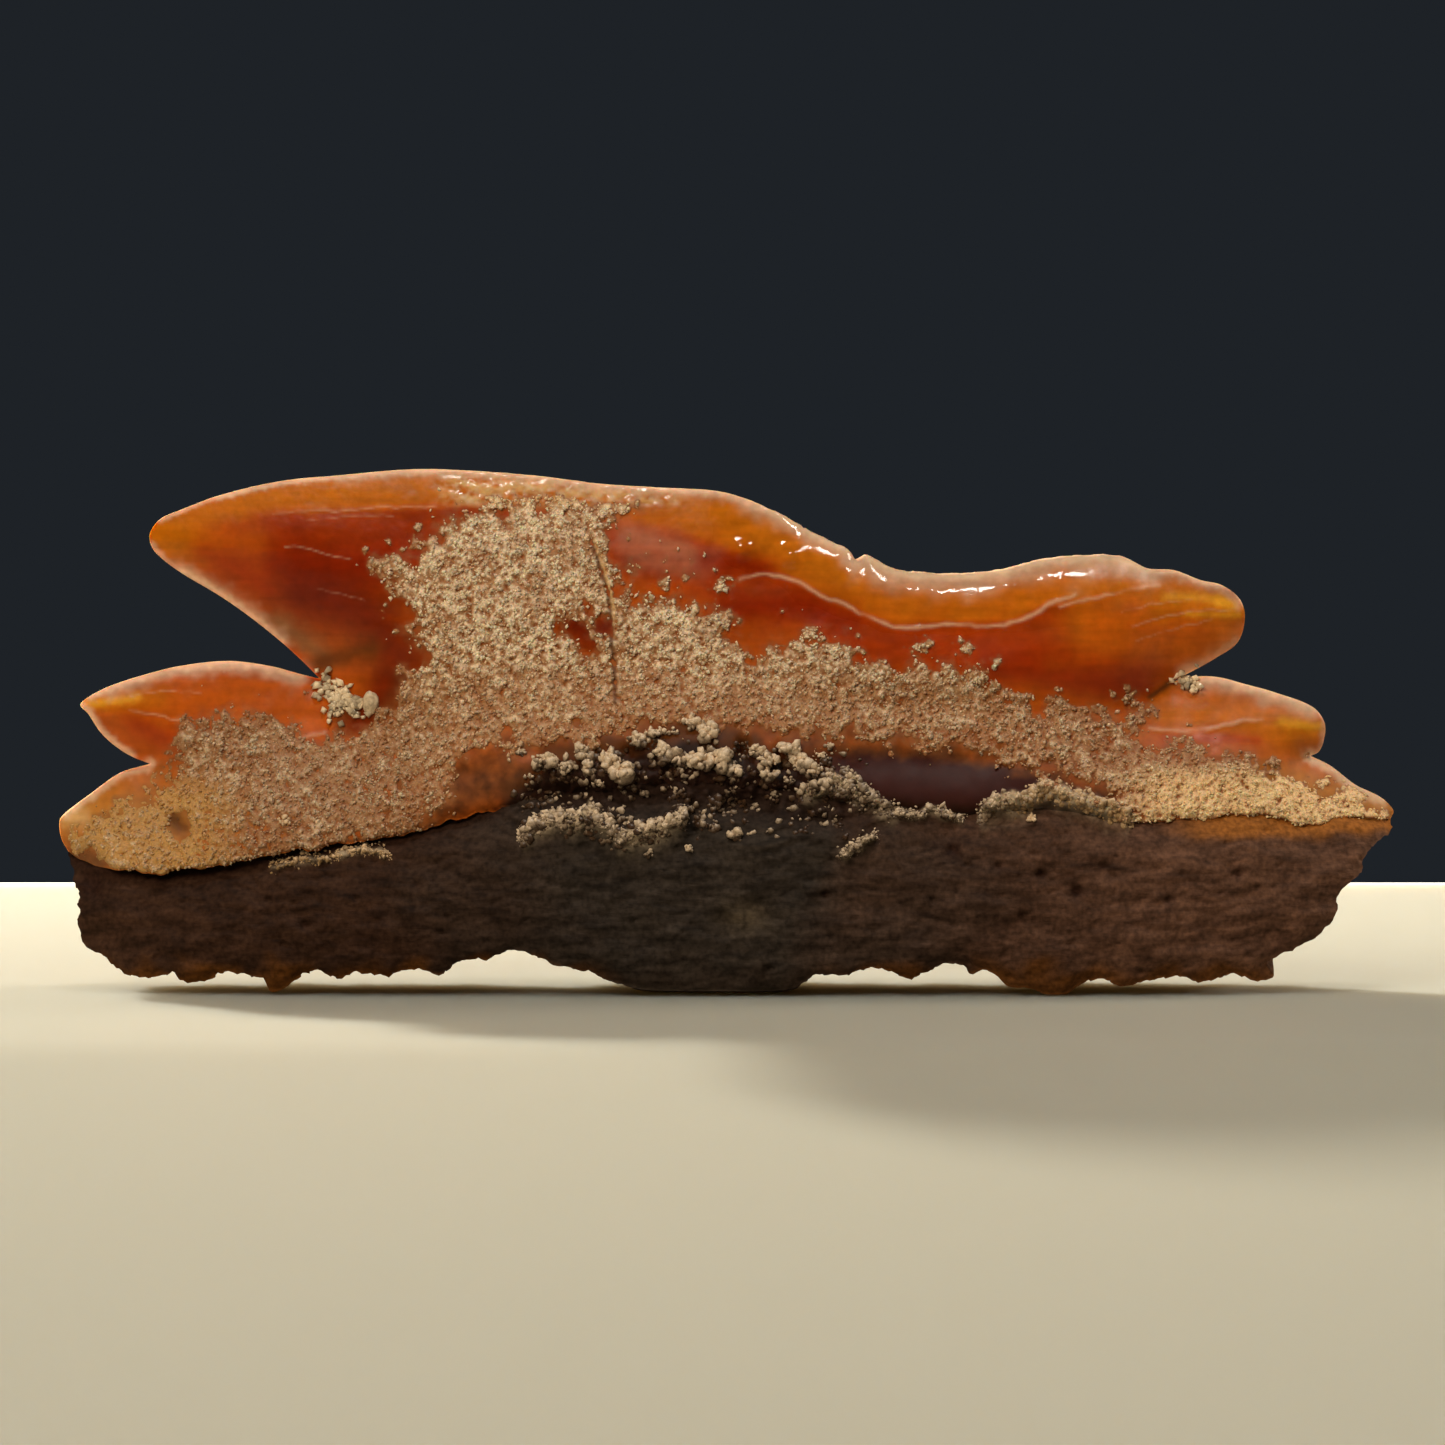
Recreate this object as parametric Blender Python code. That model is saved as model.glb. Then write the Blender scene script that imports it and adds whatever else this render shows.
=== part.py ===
"""A fossil bramble shark tooth standing on its root: one closed solid named tooth.

The tooth is drawn as seen from the front, in millimetres: x along the blade, z up from the
surface it stands on. Each point of that view gets a depth in front of the mid-plane and one
behind it. The two sheets meet in the crown's cutting edge, and a wall joins them round the root.
"""

import math

import bmesh
import bpy
import numpy as np
from mathutils import Vector, noise
from mathutils.geometry import delaunay_2d_cdt

MM = 0.001

# Driving dimensions, in millimetres. The outline below is drawn to the same scale.
TOOTH_WIDTH = 13.4
TOOTH_HEIGHT = 5.2
ROOT_FRONT = 1.38
ROOT_BACK = 1.42
ROOT_HALF_LENGTH = 6.95
CROWN_FRONT = 0.86
CROWN_BACK = 0.98
CROWN_REACH = 1.4
FRONT_FLARE = 0.36
BACK_FLARE = 0.288
FLARE_HEIGHT = 1.3
FLARE_REACH = 0.5
LIP_DROP = 0.06
FRONT_OVERHANG = 0.12
BACK_OVERHANG = 0.05
RECESS_REACH = 0.3
THINNEST_ROOT = 0.06
RIM_SHARE = 0.88
RIM_REACH = 0.12

# The crown's outline, run by run from the left end of its base to the right end. Runs meet in
# the sharp notches between the cusps, and each is a smooth curve through its own points.
CROWN_RUNS = [
    [(-6.59, 1.37), (-6.66, 1.50), (-6.68, 1.68), (-6.62, 1.76), (-6.37, 1.95), (-6.07, 2.16),
     (-5.77, 2.25)],
    [(-5.77, 2.25), (-5.97, 2.33), (-6.15, 2.45), (-6.28, 2.58), (-6.39, 2.75), (-6.47, 2.84),
     (-6.37, 2.93), (-6.17, 3.03), (-5.87, 3.13), (-5.47, 3.23), (-4.99, 3.28), (-4.57, 3.23),
     (-4.27, 3.15), (-4.07, 3.10)],
    [(-4.07, 3.10), (-4.27, 3.30), (-4.47, 3.48), (-4.77, 3.72), (-5.07, 3.93), (-5.47, 4.17),
     (-5.69, 4.34), (-5.76, 4.44), (-5.77, 4.56), (-5.67, 4.70), (-5.47, 4.79), (-5.07, 4.94),
     (-4.47, 5.08), (-3.87, 5.14), (-3.12, 5.20), (-2.47, 5.18), (-1.87, 5.13), (-1.22, 5.05),
     (-0.73, 5.02), (-0.08, 4.98), (0.23, 4.89), (0.56, 4.74), (0.84, 4.58), (1.04, 4.48),
     (1.22, 4.39), (1.28, 4.30)],
    [(1.28, 4.30), (1.40, 4.34), (1.69, 4.20), (2.33, 4.16), (2.74, 4.20), (3.13, 4.30),
     (3.53, 4.34), (3.95, 4.33), (4.20, 4.21), (4.47, 4.19), (4.74, 4.09), (4.95, 4.04),
     (5.13, 3.90), (5.18, 3.72), (5.11, 3.47), (4.89, 3.31), (4.62, 3.16), (4.41, 3.06)],
    [(4.41, 3.06), (4.66, 3.12), (4.90, 3.12), (5.18, 3.05), (5.50, 2.96), (5.86, 2.82),
     (5.98, 2.66), (5.97, 2.48), (5.92, 2.37), (5.84, 2.33)],
    [(5.84, 2.33), (6.04, 2.23), (6.29, 2.04), (6.55, 1.91), (6.67, 1.78), (6.64, 1.70),
     (6.66, 1.62), (6.51, 1.49)],
]

# The root's outline, on from the crown's right end, down and back along the ragged base.
ROOT_RUN = [
    (6.51, 1.49), (6.36, 1.35), (6.33, 1.19), (6.20, 1.08), (6.09, 0.92), (6.09, 0.78),
    (5.96, 0.64), (5.84, 0.53), (5.58, 0.42), (5.37, 0.30), (5.45, 0.18), (5.30, 0.13),
    (5.05, 0.20), (4.78, 0.13), (4.49, 0.18), (4.24, 0.16), (3.93, 0.09), (3.72, 0.17),
    (3.53, 0.12), (3.38, 0.00), (3.18, 0.00), (3.03, 0.07), (2.80, 0.09), (2.71, 0.17),
    (2.56, 0.26), (2.43, 0.21), (2.33, 0.31), (2.10, 0.30), (1.95, 0.21), (1.78, 0.17),
    (1.62, 0.25), (1.38, 0.28), (1.18, 0.21), (0.88, 0.21), (0.70, 0.09), (0.50, 0.03),
    (0.00, 0.03), (-0.50, 0.03), (-0.87, 0.05), (-1.17, 0.15), (-1.40, 0.24), (-1.72, 0.31),
    (-2.12, 0.46), (-2.37, 0.37), (-2.67, 0.34), (-2.86, 0.21), (-3.02, 0.25), (-3.17, 0.26),
    (-3.37, 0.20), (-3.72, 0.23), (-3.88, 0.16), (-4.10, 0.25), (-4.29, 0.16), (-4.42, 0.06),
    (-4.55, 0.03), (-4.61, 0.14), (-4.79, 0.20), (-5.02, 0.22), (-5.23, 0.13), (-5.41, 0.12),
    (-5.51, 0.20), (-5.72, 0.16), (-5.92, 0.16), (-6.09, 0.25), (-6.25, 0.38), (-6.41, 0.46),
    (-6.48, 0.64), (-6.47, 0.94), (-6.52, 1.10), (-6.59, 1.37),
]

# Where the crown's skirt ends over the root, on the front and on the back.
FRONT_LIP = [
    (-6.47, 1.30), (-6.22, 1.24), (-5.67, 1.20), (-5.07, 1.28), (-4.47, 1.40), (-3.42, 1.55),
    (-2.77, 1.72), (-2.17, 1.90), (-1.37, 2.02), (-0.37, 2.10), (0.63, 2.00), (1.53, 1.88),
    (2.33, 1.80), (3.33, 1.84), (3.93, 1.70), (4.51, 1.71), (5.30, 1.76), (5.81, 1.64),
    (6.10, 1.68), (6.42, 1.58),
]
BACK_LIP = [
    (-6.45, 1.34), (-5.60, 1.42), (-4.30, 1.62), (-2.60, 1.92), (-0.40, 2.10), (1.90, 2.02),
    (4.00, 1.86), (5.40, 1.74), (6.40, 1.58),
]

# The thin pale ridge under the worn blade, where the cutting edge is ground back.
BLADE_RIDGE = [
    (0.13, 4.12), (0.73, 4.08), (0.93, 3.96), (1.18, 3.86), (1.53, 3.70), (1.93, 3.64),
    (2.58, 3.65), (3.03, 3.75), (3.48, 3.96), (4.08, 4.02), (4.60, 3.88),
]
RIDGE_HEIGHT = 0.05
RIDGE_REACH = 0.12

# The sediment crust cemented to the front of the crown, and how far it stands proud.
CRUST_EDGE = [
    (-3.62, 4.35), (-3.52, 4.05), (-3.27, 3.90), (-3.27, 3.50), (-3.07, 3.30), (-3.60, 3.22),
    (-4.00, 2.95), (-5.40, 2.78), (-5.90, 2.20), (-6.40, 1.75), (-6.30, 1.50), (-5.60, 1.45),
    (-4.30, 1.60), (-2.60, 1.92), (-1.70, 2.10), (0.00, 2.25), (1.60, 2.20), (3.20, 2.05),
    (4.60, 1.90), (6.20, 1.85), (6.30, 1.98), (5.60, 2.15), (4.60, 2.40), (4.10, 2.80),
    (3.70, 2.92), (2.70, 3.20), (1.80, 3.35), (0.95, 3.60), (0.30, 3.50), (0.00, 3.70),
    (-0.75, 4.10), (-0.95, 4.90), (-2.40, 5.02), (-2.95, 4.75),
]
CRUST_HEIGHT = 0.06
CRUST_REACH = 0.15
CRUST_LUMPS = 0.04
CRUST_LUMP_SIZE = 0.3

# Nodules and ledges of sediment along the junction: x, z, radius, height.
NODULES = [
    (-1.79, 2.34, 0.17, 0.12), (-1.52, 2.48, 0.20, 0.14), (-1.12, 2.27, 0.24, 0.18),
    (-0.87, 2.55, 0.17, 0.13), (-0.59, 2.39, 0.25, 0.16), (-0.32, 2.72, 0.15, 0.14),
    (-0.14, 2.58, 0.16, 0.16), (-0.24, 2.31, 0.19, 0.17), (0.01, 2.30, 0.21, 0.18),
    (0.35, 2.38, 0.15, 0.14), (0.42, 2.20, 0.15, 0.14), (0.65, 2.42, 0.17, 0.16),
    (0.82, 2.23, 0.17, 0.15), (0.95, 2.05, 0.21, 0.12), (1.28, 2.04, 0.21, 0.10),
    (0.11, 1.62, 0.13, 0.11), (-0.37, 1.47, 0.09, 0.07), (1.36, 1.58, 0.13, 0.09),
    (-1.95, 1.73, 0.16, 0.09), (-1.65, 1.80, 0.19, 0.13), (-1.32, 1.83, 0.19, 0.14),
    (-1.02, 1.64, 0.18, 0.11), (-0.77, 1.71, 0.19, 0.13), (-0.47, 1.84, 0.15, 0.12),
    (1.98, 1.84, 0.15, 0.08), (2.33, 1.86, 0.15, 0.08), (2.75, 1.92, 0.23, 0.09),
    (3.25, 1.95, 0.23, 0.09), (-3.72, 1.42, 0.16, 0.09), (-4.00, 1.44, 0.12, 0.07),
    (-3.57, 2.92, 0.13, 0.12), (-3.93, 2.88, 0.14, 0.10), (-3.75, 3.06, 0.13, 0.08),
]

# Pits and hollows of the front: x, z, radius, depth. The back has the root's feeding canals.
FRONT_PITS = [
    (-5.49, 1.68, 0.14, 0.12), (-6.34, 1.06, 0.14, 0.10), (-1.37, 3.60, 0.14, 0.06),
    (1.00, 1.03, 0.09, 0.06), (3.13, 1.22, 0.10, 0.06), (3.50, 1.04, 0.11, 0.07),
    (2.30, 1.42, 0.20, 0.08), (-4.57, 1.20, 0.18, 0.07),
]
BACK_PITS = [
    (-4.60, 1.00, 0.15, 0.12), (-2.90, 1.18, 0.17, 0.14), (-1.10, 1.25, 0.20, 0.16),
    (0.90, 1.20, 0.18, 0.15), (2.80, 1.12, 0.17, 0.13), (4.70, 0.98, 0.14, 0.11),
]

# Stretches of the base that meet the surface: from x, to x, first and last row of the underside.
FEET = [(-0.95, 0.75, 1, 5), (3.10, 3.46, 0, 4), (-4.60, -4.45, 1, 2)]

# Grain of the root: long shallow furrows, and the hollows of its underside.
FURROW_HEIGHT = 0.05
FURROW_LENGTH = 0.9
FURROW_PITCH = 0.17
UNDERSIDE_HOLLOW = 0.30
HOLLOW_SIZE = 0.7
FINE_HOLLOW_SIZE = 0.27
HOLLOW_MEAN = 0.45
HOLLOW_BROAD_SHARE = 0.55
HOLLOW_FINE_SHARE = 0.3
HOLLOW_TOP = 1.4
HOLLOW_FADE = 0.6
SPINE_END = 5.6
SPINE_HEIGHT = 0.9
UNDERSIDE_ROWS = (0.0, 0.10, 0.30, 0.50, 0.70, 0.90, 1.0)

# Places in the noise that give each surface a grain of its own.
CRUST_GRAIN = 7.5
FRONT_GRAIN = 1.5
BACK_GRAIN = 4.5
BROAD_GRAIN = 0.5
FINE_GRAIN = 3.5

# Fineness of the mesh.
OUTLINE_STEP = 0.12
LINE_STEP = 0.16
FRONT_SPACING = 0.158
BACK_SPACING = 0.235
CLEAR_OF_LINES = 0.6
RING_POINTS = 6
RING_SHARE = 0.9
WELD = 1e-5


def smooth_curve(points, step):
    """Points along a smooth curve through these ones, which it keeps, no further than step apart."""
    points = np.array(points, float)
    chords = np.linalg.norm(np.diff(points, axis=0), axis=1)
    times = np.concatenate([[0.0], np.cumsum(chords)])
    slopes = np.empty_like(points)
    slopes[1:-1] = (points[2:] - points[:-2]) / (times[2:] - times[:-2])[:, None]
    slopes[0] = (points[1] - points[0]) / chords[0]
    slopes[-1] = (points[-1] - points[-2]) / chords[-1]
    curve = []
    for i, chord in enumerate(chords):
        count = max(1, math.ceil(chord / step))
        for k in range(count):
            t = k / count
            from_start = points[i] * (1 + 2 * t) * (1 - t) ** 2 + slopes[i] * chord * t * (1 - t) ** 2
            from_end = points[i + 1] * t * t * (3 - 2 * t) - slopes[i + 1] * chord * t * t * (1 - t)
            curve.append(from_start + from_end)
    curve.append(points[-1])
    return np.array(curve)


def crown_outline(step):
    runs = [smooth_curve(run, step) for run in CROWN_RUNS]
    return np.concatenate([runs[0]] + [run[1:] for run in runs[1:]])


def root_outline(step):
    line = smooth_curve(ROOT_RUN, step)
    line[:, 1] = np.maximum(line[:, 1], 0)
    return line


def nearest_distance(points, line):
    """Distance from each point to the nearest point of a finely drawn line."""
    return np.linalg.norm(points[:, None] - line[None], axis=2).min(axis=1)


def soft_distance(points, line):
    """Distance to a line, rounded off where two stretches of it are equally near, so that what
    is raised from it has no crease along its middle."""
    pieces = np.linalg.norm(np.diff(line, axis=0), axis=1)
    middles = (line[1:] + line[:-1]) / 2
    squared = ((points[:, None] - middles[None]) ** 2).sum(axis=2) + pieces.min() ** 2 / 4
    return ((pieces / squared**2).sum(axis=1) * 2 / math.pi) ** (-1 / 3)


def inside(points, loop):
    """Whether each point lies inside a closed loop."""
    crossings = np.zeros(len(points), int)
    for (x0, z0), (x1, z1) in zip(loop, np.roll(loop, -1, axis=0)):
        spans = (points[:, 1] < z0) != (points[:, 1] < z1)
        rise = z1 - z0 if z1 != z0 else 1.0
        at = x0 + (points[:, 1] - z0) * (x1 - x0) / rise
        crossings += spans & (points[:, 0] < at)
    return crossings % 2 == 1


def smoothstep(share):
    share = np.clip(share, 0, 1)
    return share * share * (3 - 2 * share)


def grain(points, length, pitch, seed):
    """Smooth noise between about -1 and 1, stretched to a length along x and a pitch along z."""
    return np.array([noise.noise(Vector((x / length, seed, z / pitch))) for x, z in points])


class Side:
    """One face of the tooth, as a depth from the mid-plane for each point of the front view."""

    def __init__(self, crown, root, lip, flare, overhang):
        self.crown_line = crown_outline(OUTLINE_STEP / 3)
        self.root_line = root_outline(OUTLINE_STEP / 3)
        self.crown = crown
        self.root = root
        self.flare = flare
        self.overhang = overhang
        self.lip = smooth_curve(lip, LINE_STEP)
        self.lip_depth = self.crown_depth(self.lip)

    def lip_height(self, points):
        return np.interp(points[:, 0], self.lip[:, 0], self.lip[:, 1])

    def crown_depth(self, points):
        """The crown swells from its cutting edge and flares out above the root."""
        edge = soft_distance(points, self.crown_line)
        swell = self.crown * (1 - np.exp(-edge / CROWN_REACH))
        above_lip = points[:, 1] - self.lip_height(points)
        flare = self.flare * smoothstep(1 - above_lip / FLARE_HEIGHT)
        return swell + flare * (1 - np.exp(-edge / FLARE_REACH))

    def root_depth(self, points):
        """The root is a lens in plan that draws in under the crown's skirt and at its own rim."""
        along = np.clip(np.abs(points[:, 0]) / ROOT_HALF_LENGTH, 0, 1)
        full = self.root * np.sqrt(1 - along**3)
        lip_depth = np.interp(points[:, 0], self.lip[:, 0], self.lip_depth)
        under_lip = np.maximum(lip_depth - self.overhang, THINNEST_ROOT)
        below = np.maximum(self.lip_height(points) - points[:, 1], 0)
        face = full + (under_lip - full) * np.exp(-below / RECESS_REACH)
        rim = soft_distance(points, self.root_line)
        return face * (1 - (1 - RIM_SHARE) * np.exp(-rim / RIM_REACH))

    def depth(self, points):
        on_crown = points[:, 1] >= self.lip_height(points) - LIP_DROP / 2
        return np.where(on_crown, self.crown_depth(points), self.root_depth(points)), on_crown


FRONT = Side(CROWN_FRONT, ROOT_FRONT, FRONT_LIP, FRONT_FLARE, FRONT_OVERHANG)
BACK = Side(CROWN_BACK, ROOT_BACK, BACK_LIP, BACK_FLARE, BACK_OVERHANG)


def domes(points, features):
    """The height that round bumps add, or pits take, at each point."""
    total = np.zeros(len(points))
    for x, z, radius, height in features:
        away = np.hypot(points[:, 0] - x, points[:, 1] - z) / radius
        total = np.maximum(total, height * np.sqrt(np.clip(1 - away**2, 0, 1)))
    return total


def furrows(points, seed):
    return FURROW_HEIGHT * grain(points, FURROW_LENGTH, FURROW_PITCH, seed)


def crust(points):
    """The crust's thickness: a soft-edged sheet with lumps, nothing outside its edge."""
    edge = smooth_curve(CRUST_EDGE + CRUST_EDGE[:1], LINE_STEP)
    depth_in = np.where(inside(points, edge), nearest_distance(points, edge), 0)
    lumps = CRUST_HEIGHT + CRUST_LUMPS * grain(points, CRUST_LUMP_SIZE, CRUST_LUMP_SIZE, CRUST_GRAIN)
    return lumps * smoothstep(depth_in / CRUST_REACH)


def ridge(points):
    """A low rise that ends in the blade's pale ridge, so the edge above it looks ground back."""
    line = smooth_curve(BLADE_RIDGE, LINE_STEP)
    beside = (points[:, 0] >= line[0, 0]) & (points[:, 0] <= line[-1, 0])
    below = np.interp(points[:, 0], line[:, 0], line[:, 1]) - points[:, 1]
    rise = RIDGE_HEIGHT * np.exp(-np.maximum(below, 0) / RIDGE_REACH)
    return np.where(beside & (below > -WELD), rise, 0)


def front_depth(points):
    depth, on_crown = FRONT.depth(points)
    depth = depth + np.where(on_crown, crust(points) + ridge(points), furrows(points, FRONT_GRAIN))
    return depth + domes(points, NODULES) - domes(points, FRONT_PITS)


def back_depth(points):
    depth, on_crown = BACK.depth(points)
    depth = depth + np.where(on_crown, 0, furrows(points, BACK_GRAIN))
    return depth - domes(points, BACK_PITS)


def lattice(spacing):
    """Points in a triangular pattern over the tooth's box."""
    rise = spacing * math.sqrt(3) / 2
    rows = range(math.ceil(TOOTH_HEIGHT / rise))
    columns = range(math.ceil(TOOTH_WIDTH / spacing) + 1)
    left = -TOOTH_WIDTH / 2
    return np.array([(left + (c + r % 2 / 2) * spacing, (r + 0.5) * rise) for r in rows for c in columns])


def rings(features):
    """A centre and a ring of points for each bump or pit, so that it keeps its form."""
    turns = np.arange(RING_POINTS) * math.tau / RING_POINTS
    ring = RING_SHARE * np.column_stack([np.cos(turns), np.sin(turns)])
    centres = np.array([(x, z) for x, z, _, _ in features])
    rims = [(x, z) + radius * ring for x, z, radius, _ in features]
    return np.concatenate([centres] + rims)


def thinned(points, gap):
    """The points in order, without those that come nearer than gap to one kept before."""
    kept = []
    for point in points:
        if not kept or np.linalg.norm(np.array(kept) - point, axis=1).min() > gap:
            kept.append(point)
    return np.array(kept)


def sheet(outline, lines, features, spacing):
    """Triangles over the outline, with edges along the lines: (points, faces). The outline's own
    points come first and in order."""
    gap = spacing * CLEAR_OF_LINES
    marked = np.concatenate([outline] + lines)
    inner = thinned(rings(features), gap)
    inner = inner[inside(inner, outline) & (nearest_distance(inner, marked) > gap)]
    spread = lattice(spacing)
    taken = np.concatenate([marked, inner])
    spread = spread[inside(spread, outline) & (nearest_distance(spread, taken) > gap)]
    points = np.concatenate([marked, inner, spread])
    edges = [(i, (i + 1) % len(outline)) for i in range(len(outline))]
    start = len(outline)
    for line in lines:
        edges += [(start + i, start + i + 1) for i in range(len(line) - 1)]
        start += len(line)
    return triangles(list(points), edges, len(outline))


def triangles(points, edges, outline_count):
    """Triangles inside the outline. A side that joins two far points of the outline would be
    shared by the front and the back, so it gets a point in its middle first."""
    keep_inside = 1
    while True:
        found = delaunay_2d_cdt([Vector(p) for p in points], edges, [], keep_inside, WELD)
        made, made_edges, faces, sources = found[:4]
        order = {same[0]: new for new, same in enumerate(sources) if same}
        rank = [order[i] for i in range(outline_count)]
        place = {old: new for new, old in enumerate(rank)}
        on_outline = [edge for edge in made_edges if edge[0] in place and edge[1] in place]
        across = [e for e in on_outline if abs(place[e[0]] - place[e[1]]) not in (1, outline_count - 1)]
        if not across:
            break
        points += [(np.array(made[a]) + np.array(made[b])) / 2 for a, b in across]
    rest = sorted(set(range(len(made))) - set(rank))
    place.update({old: outline_count + new for new, old in enumerate(rest)})
    whole = np.array([made[old][:] for old in rank + rest])
    return whole, [[place[i] for i in face] for face in faces]


def edge_lines(side):
    """The lines that a sheet keeps as edges: the crown's lip and the root's top just under it."""
    return [side.lip, side.lip - np.array([0, LIP_DROP])]


def underside(point, front, back):
    """The rows of the wall at one point of the root's outline, from the front rim to the back.
    Between the rims the wall is hollowed towards the root's middle."""
    x, z = point
    towards = Vector((min(max(x, -SPINE_END), SPINE_END) - x, SPINE_HEIGHT - z)).normalized()
    foot = [(first, last) for left, right, first, last in FEET if left <= x <= right]
    column = []
    deepest = UNDERSIDE_HOLLOW * smoothstep((HOLLOW_TOP - z) / HOLLOW_FADE)
    for row, share in enumerate(UNDERSIDE_ROWS):
        y = -front + (front + back) * share
        place = Vector((x, y, 0))
        broad = HOLLOW_BROAD_SHARE * noise.noise(place / HOLLOW_SIZE + Vector((0, 0, BROAD_GRAIN)))
        fine = HOLLOW_FINE_SHARE * noise.noise(place / FINE_HOLLOW_SIZE + Vector((0, 0, FINE_GRAIN)))
        hollow = deepest * max(0, HOLLOW_MEAN + broad + fine) * math.sqrt(math.sin(math.pi * share))
        if any(first <= row <= last for first, last in foot):
            column.append((x, y, 0.0))
        else:
            column.append((x + hollow * towards[0], y, z + hollow * towards[1]))
    return column


def build_tooth():
    crown = crown_outline(OUTLINE_STEP)
    root = root_outline(OUTLINE_STEP)
    outline = np.concatenate([crown, root[1:-1]])
    front_lines = edge_lines(FRONT) + [smooth_curve(BLADE_RIDGE, LINE_STEP)]
    front_points, front_faces = sheet(outline, front_lines, NODULES + FRONT_PITS, FRONT_SPACING)
    back_points, back_faces = sheet(outline, edge_lines(BACK), BACK_PITS, BACK_SPACING)
    front = front_depth(front_points)
    back = back_depth(back_points)

    mesh = bmesh.new()
    columns = []
    for i, (x, z) in enumerate(outline):
        if i < len(crown):
            columns.append([mesh.verts.new((x * MM, 0, z * MM))])
            continue
        column = underside((x, z), front[i], back[i])
        columns.append([mesh.verts.new([v * MM for v in place]) for place in column])

    front_verts = [column[0] for column in columns]
    back_verts = [column[-1] for column in columns]
    for i in range(len(outline), len(front_points)):
        x, z = front_points[i]
        front_verts.append(mesh.verts.new((x * MM, -front[i] * MM, z * MM)))
    for i in range(len(outline), len(back_points)):
        x, z = back_points[i]
        back_verts.append(mesh.verts.new((x * MM, back[i] * MM, z * MM)))
    for face in front_faces:
        mesh.faces.new([front_verts[i] for i in face])
    for face in back_faces:
        mesh.faces.new([back_verts[i] for i in reversed(face)])
    for here, there in zip(columns, columns[1:] + columns[:1]):
        wall_strip(mesh, here, there)
    loose = [v for v in mesh.verts if not v.link_faces]
    bmesh.ops.delete(mesh, geom=loose, context="VERTS")
    bmesh.ops.triangulate(mesh, faces=[face for face in mesh.faces if len(face.verts) > 3])
    bmesh.ops.recalc_face_normals(mesh, faces=mesh.faces)
    return mesh


def wall_strip(mesh, here, there):
    """Joins two neighbouring columns of the wall; a single point on the crown's edge makes a fan."""
    if len(here) == len(there) == 1:
        return
    rows = max(len(here), len(there))
    for row in range(rows - 1):
        near = here[row : row + 2] if len(here) > 1 else here
        far = there[row : row + 2] if len(there) > 1 else there
        mesh.faces.new(near + far[::-1])


def fossil_material():
    material = bpy.data.materials.new("fossil_tooth")
    material.use_nodes = True
    shader = material.node_tree.nodes["Principled BSDF"]
    shader.inputs["Base Color"].default_value = (0.52, 0.20, 0.06, 1)
    shader.inputs["Roughness"].default_value = 0.45
    shader.inputs["Metallic"].default_value = 0.0
    return material


def main():
    for thing in list(bpy.data.objects):
        bpy.data.objects.remove(thing)
    solid = build_tooth()
    data = bpy.data.meshes.new("tooth")
    solid.to_mesh(data)
    solid.free()
    data.shade_smooth()
    data.materials.append(fossil_material())
    tooth = bpy.data.objects.new("tooth", data)
    bpy.context.scene.collection.objects.link(tooth)


main()
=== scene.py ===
"""Looks for the fossil bramble shark tooth: a glassy amber crown over a fibrous brown root, crusted
with pale sediment, on a pale slab.

Shapes are worked out in millimetres in the frame's own axes: x along the blade, y into the
picture and z up. Front-view points are (x, z). Outlines and marks were placed over the
photo.
"""

import math

import bpy
import numpy as np
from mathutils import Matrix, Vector
from mathutils.geometry import delaunay_2d_cdt


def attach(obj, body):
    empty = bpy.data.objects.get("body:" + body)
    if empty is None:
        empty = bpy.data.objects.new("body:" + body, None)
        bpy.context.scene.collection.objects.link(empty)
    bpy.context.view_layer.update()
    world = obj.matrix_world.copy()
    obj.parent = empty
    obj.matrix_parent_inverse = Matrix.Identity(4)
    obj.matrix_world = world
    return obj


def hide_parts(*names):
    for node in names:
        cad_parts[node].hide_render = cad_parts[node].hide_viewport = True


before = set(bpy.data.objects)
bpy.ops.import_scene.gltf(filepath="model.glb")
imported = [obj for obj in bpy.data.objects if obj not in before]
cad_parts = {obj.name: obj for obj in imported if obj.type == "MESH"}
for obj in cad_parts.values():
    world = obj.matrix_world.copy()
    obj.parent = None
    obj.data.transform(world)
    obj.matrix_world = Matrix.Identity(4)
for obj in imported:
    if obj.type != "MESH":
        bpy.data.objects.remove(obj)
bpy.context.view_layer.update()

MM = 0.001

# Fineness of the meshes, in millimetres.
CROWN_FRONT_GRID = 0.022
CROWN_BACK_GRID = 0.045
CRUST_GRID = 0.0165
ROOT_FRONT_GRID = 0.025
ROOT_BACK_GRID = 0.042
OUTLINE_STEP = 0.03
WELD = 1e-6

# Points along the crown's lip and rows across the walls between the front and the back.
CROWN_LIP_POINTS = 520
CROWN_WALL_ROWS = 6
ROOT_LIP_POINTS = 420
ROOT_WALL_ROWS = 36
# How far points stay from the edges, in spacings.
CLEARANCE = 0.6

# The depths of the crown and the root on each side of the mid-plane, and of what rises and sinks
# on them.
ROOT_FRONT = 1.38
ROOT_BACK = 1.42
ROOT_HALF_LENGTH = 6.95
CROWN_FRONT = 0.86
CROWN_BACK = 0.98
CROWN_REACH = 1.4
LIP_FLARE = 0.36
FLARE_HEIGHT = 1.3
FLARE_REACH = 0.5
RECESS_REACH = 0.3
THINNEST_ROOT = 0.04
RIM_SHARE = 0.88
RIM_REACH = 0.12
LIP_ROLL = 0.07
LIP_ROLL_HEIGHT = 0.05
LIP_RAGGED = 0.035
BLADE_SWELL = 0.13
BLADE_REACH = 0.10
HOLLOW_DEPTH = 0.26
BELLY_DROP = 0.05

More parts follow.
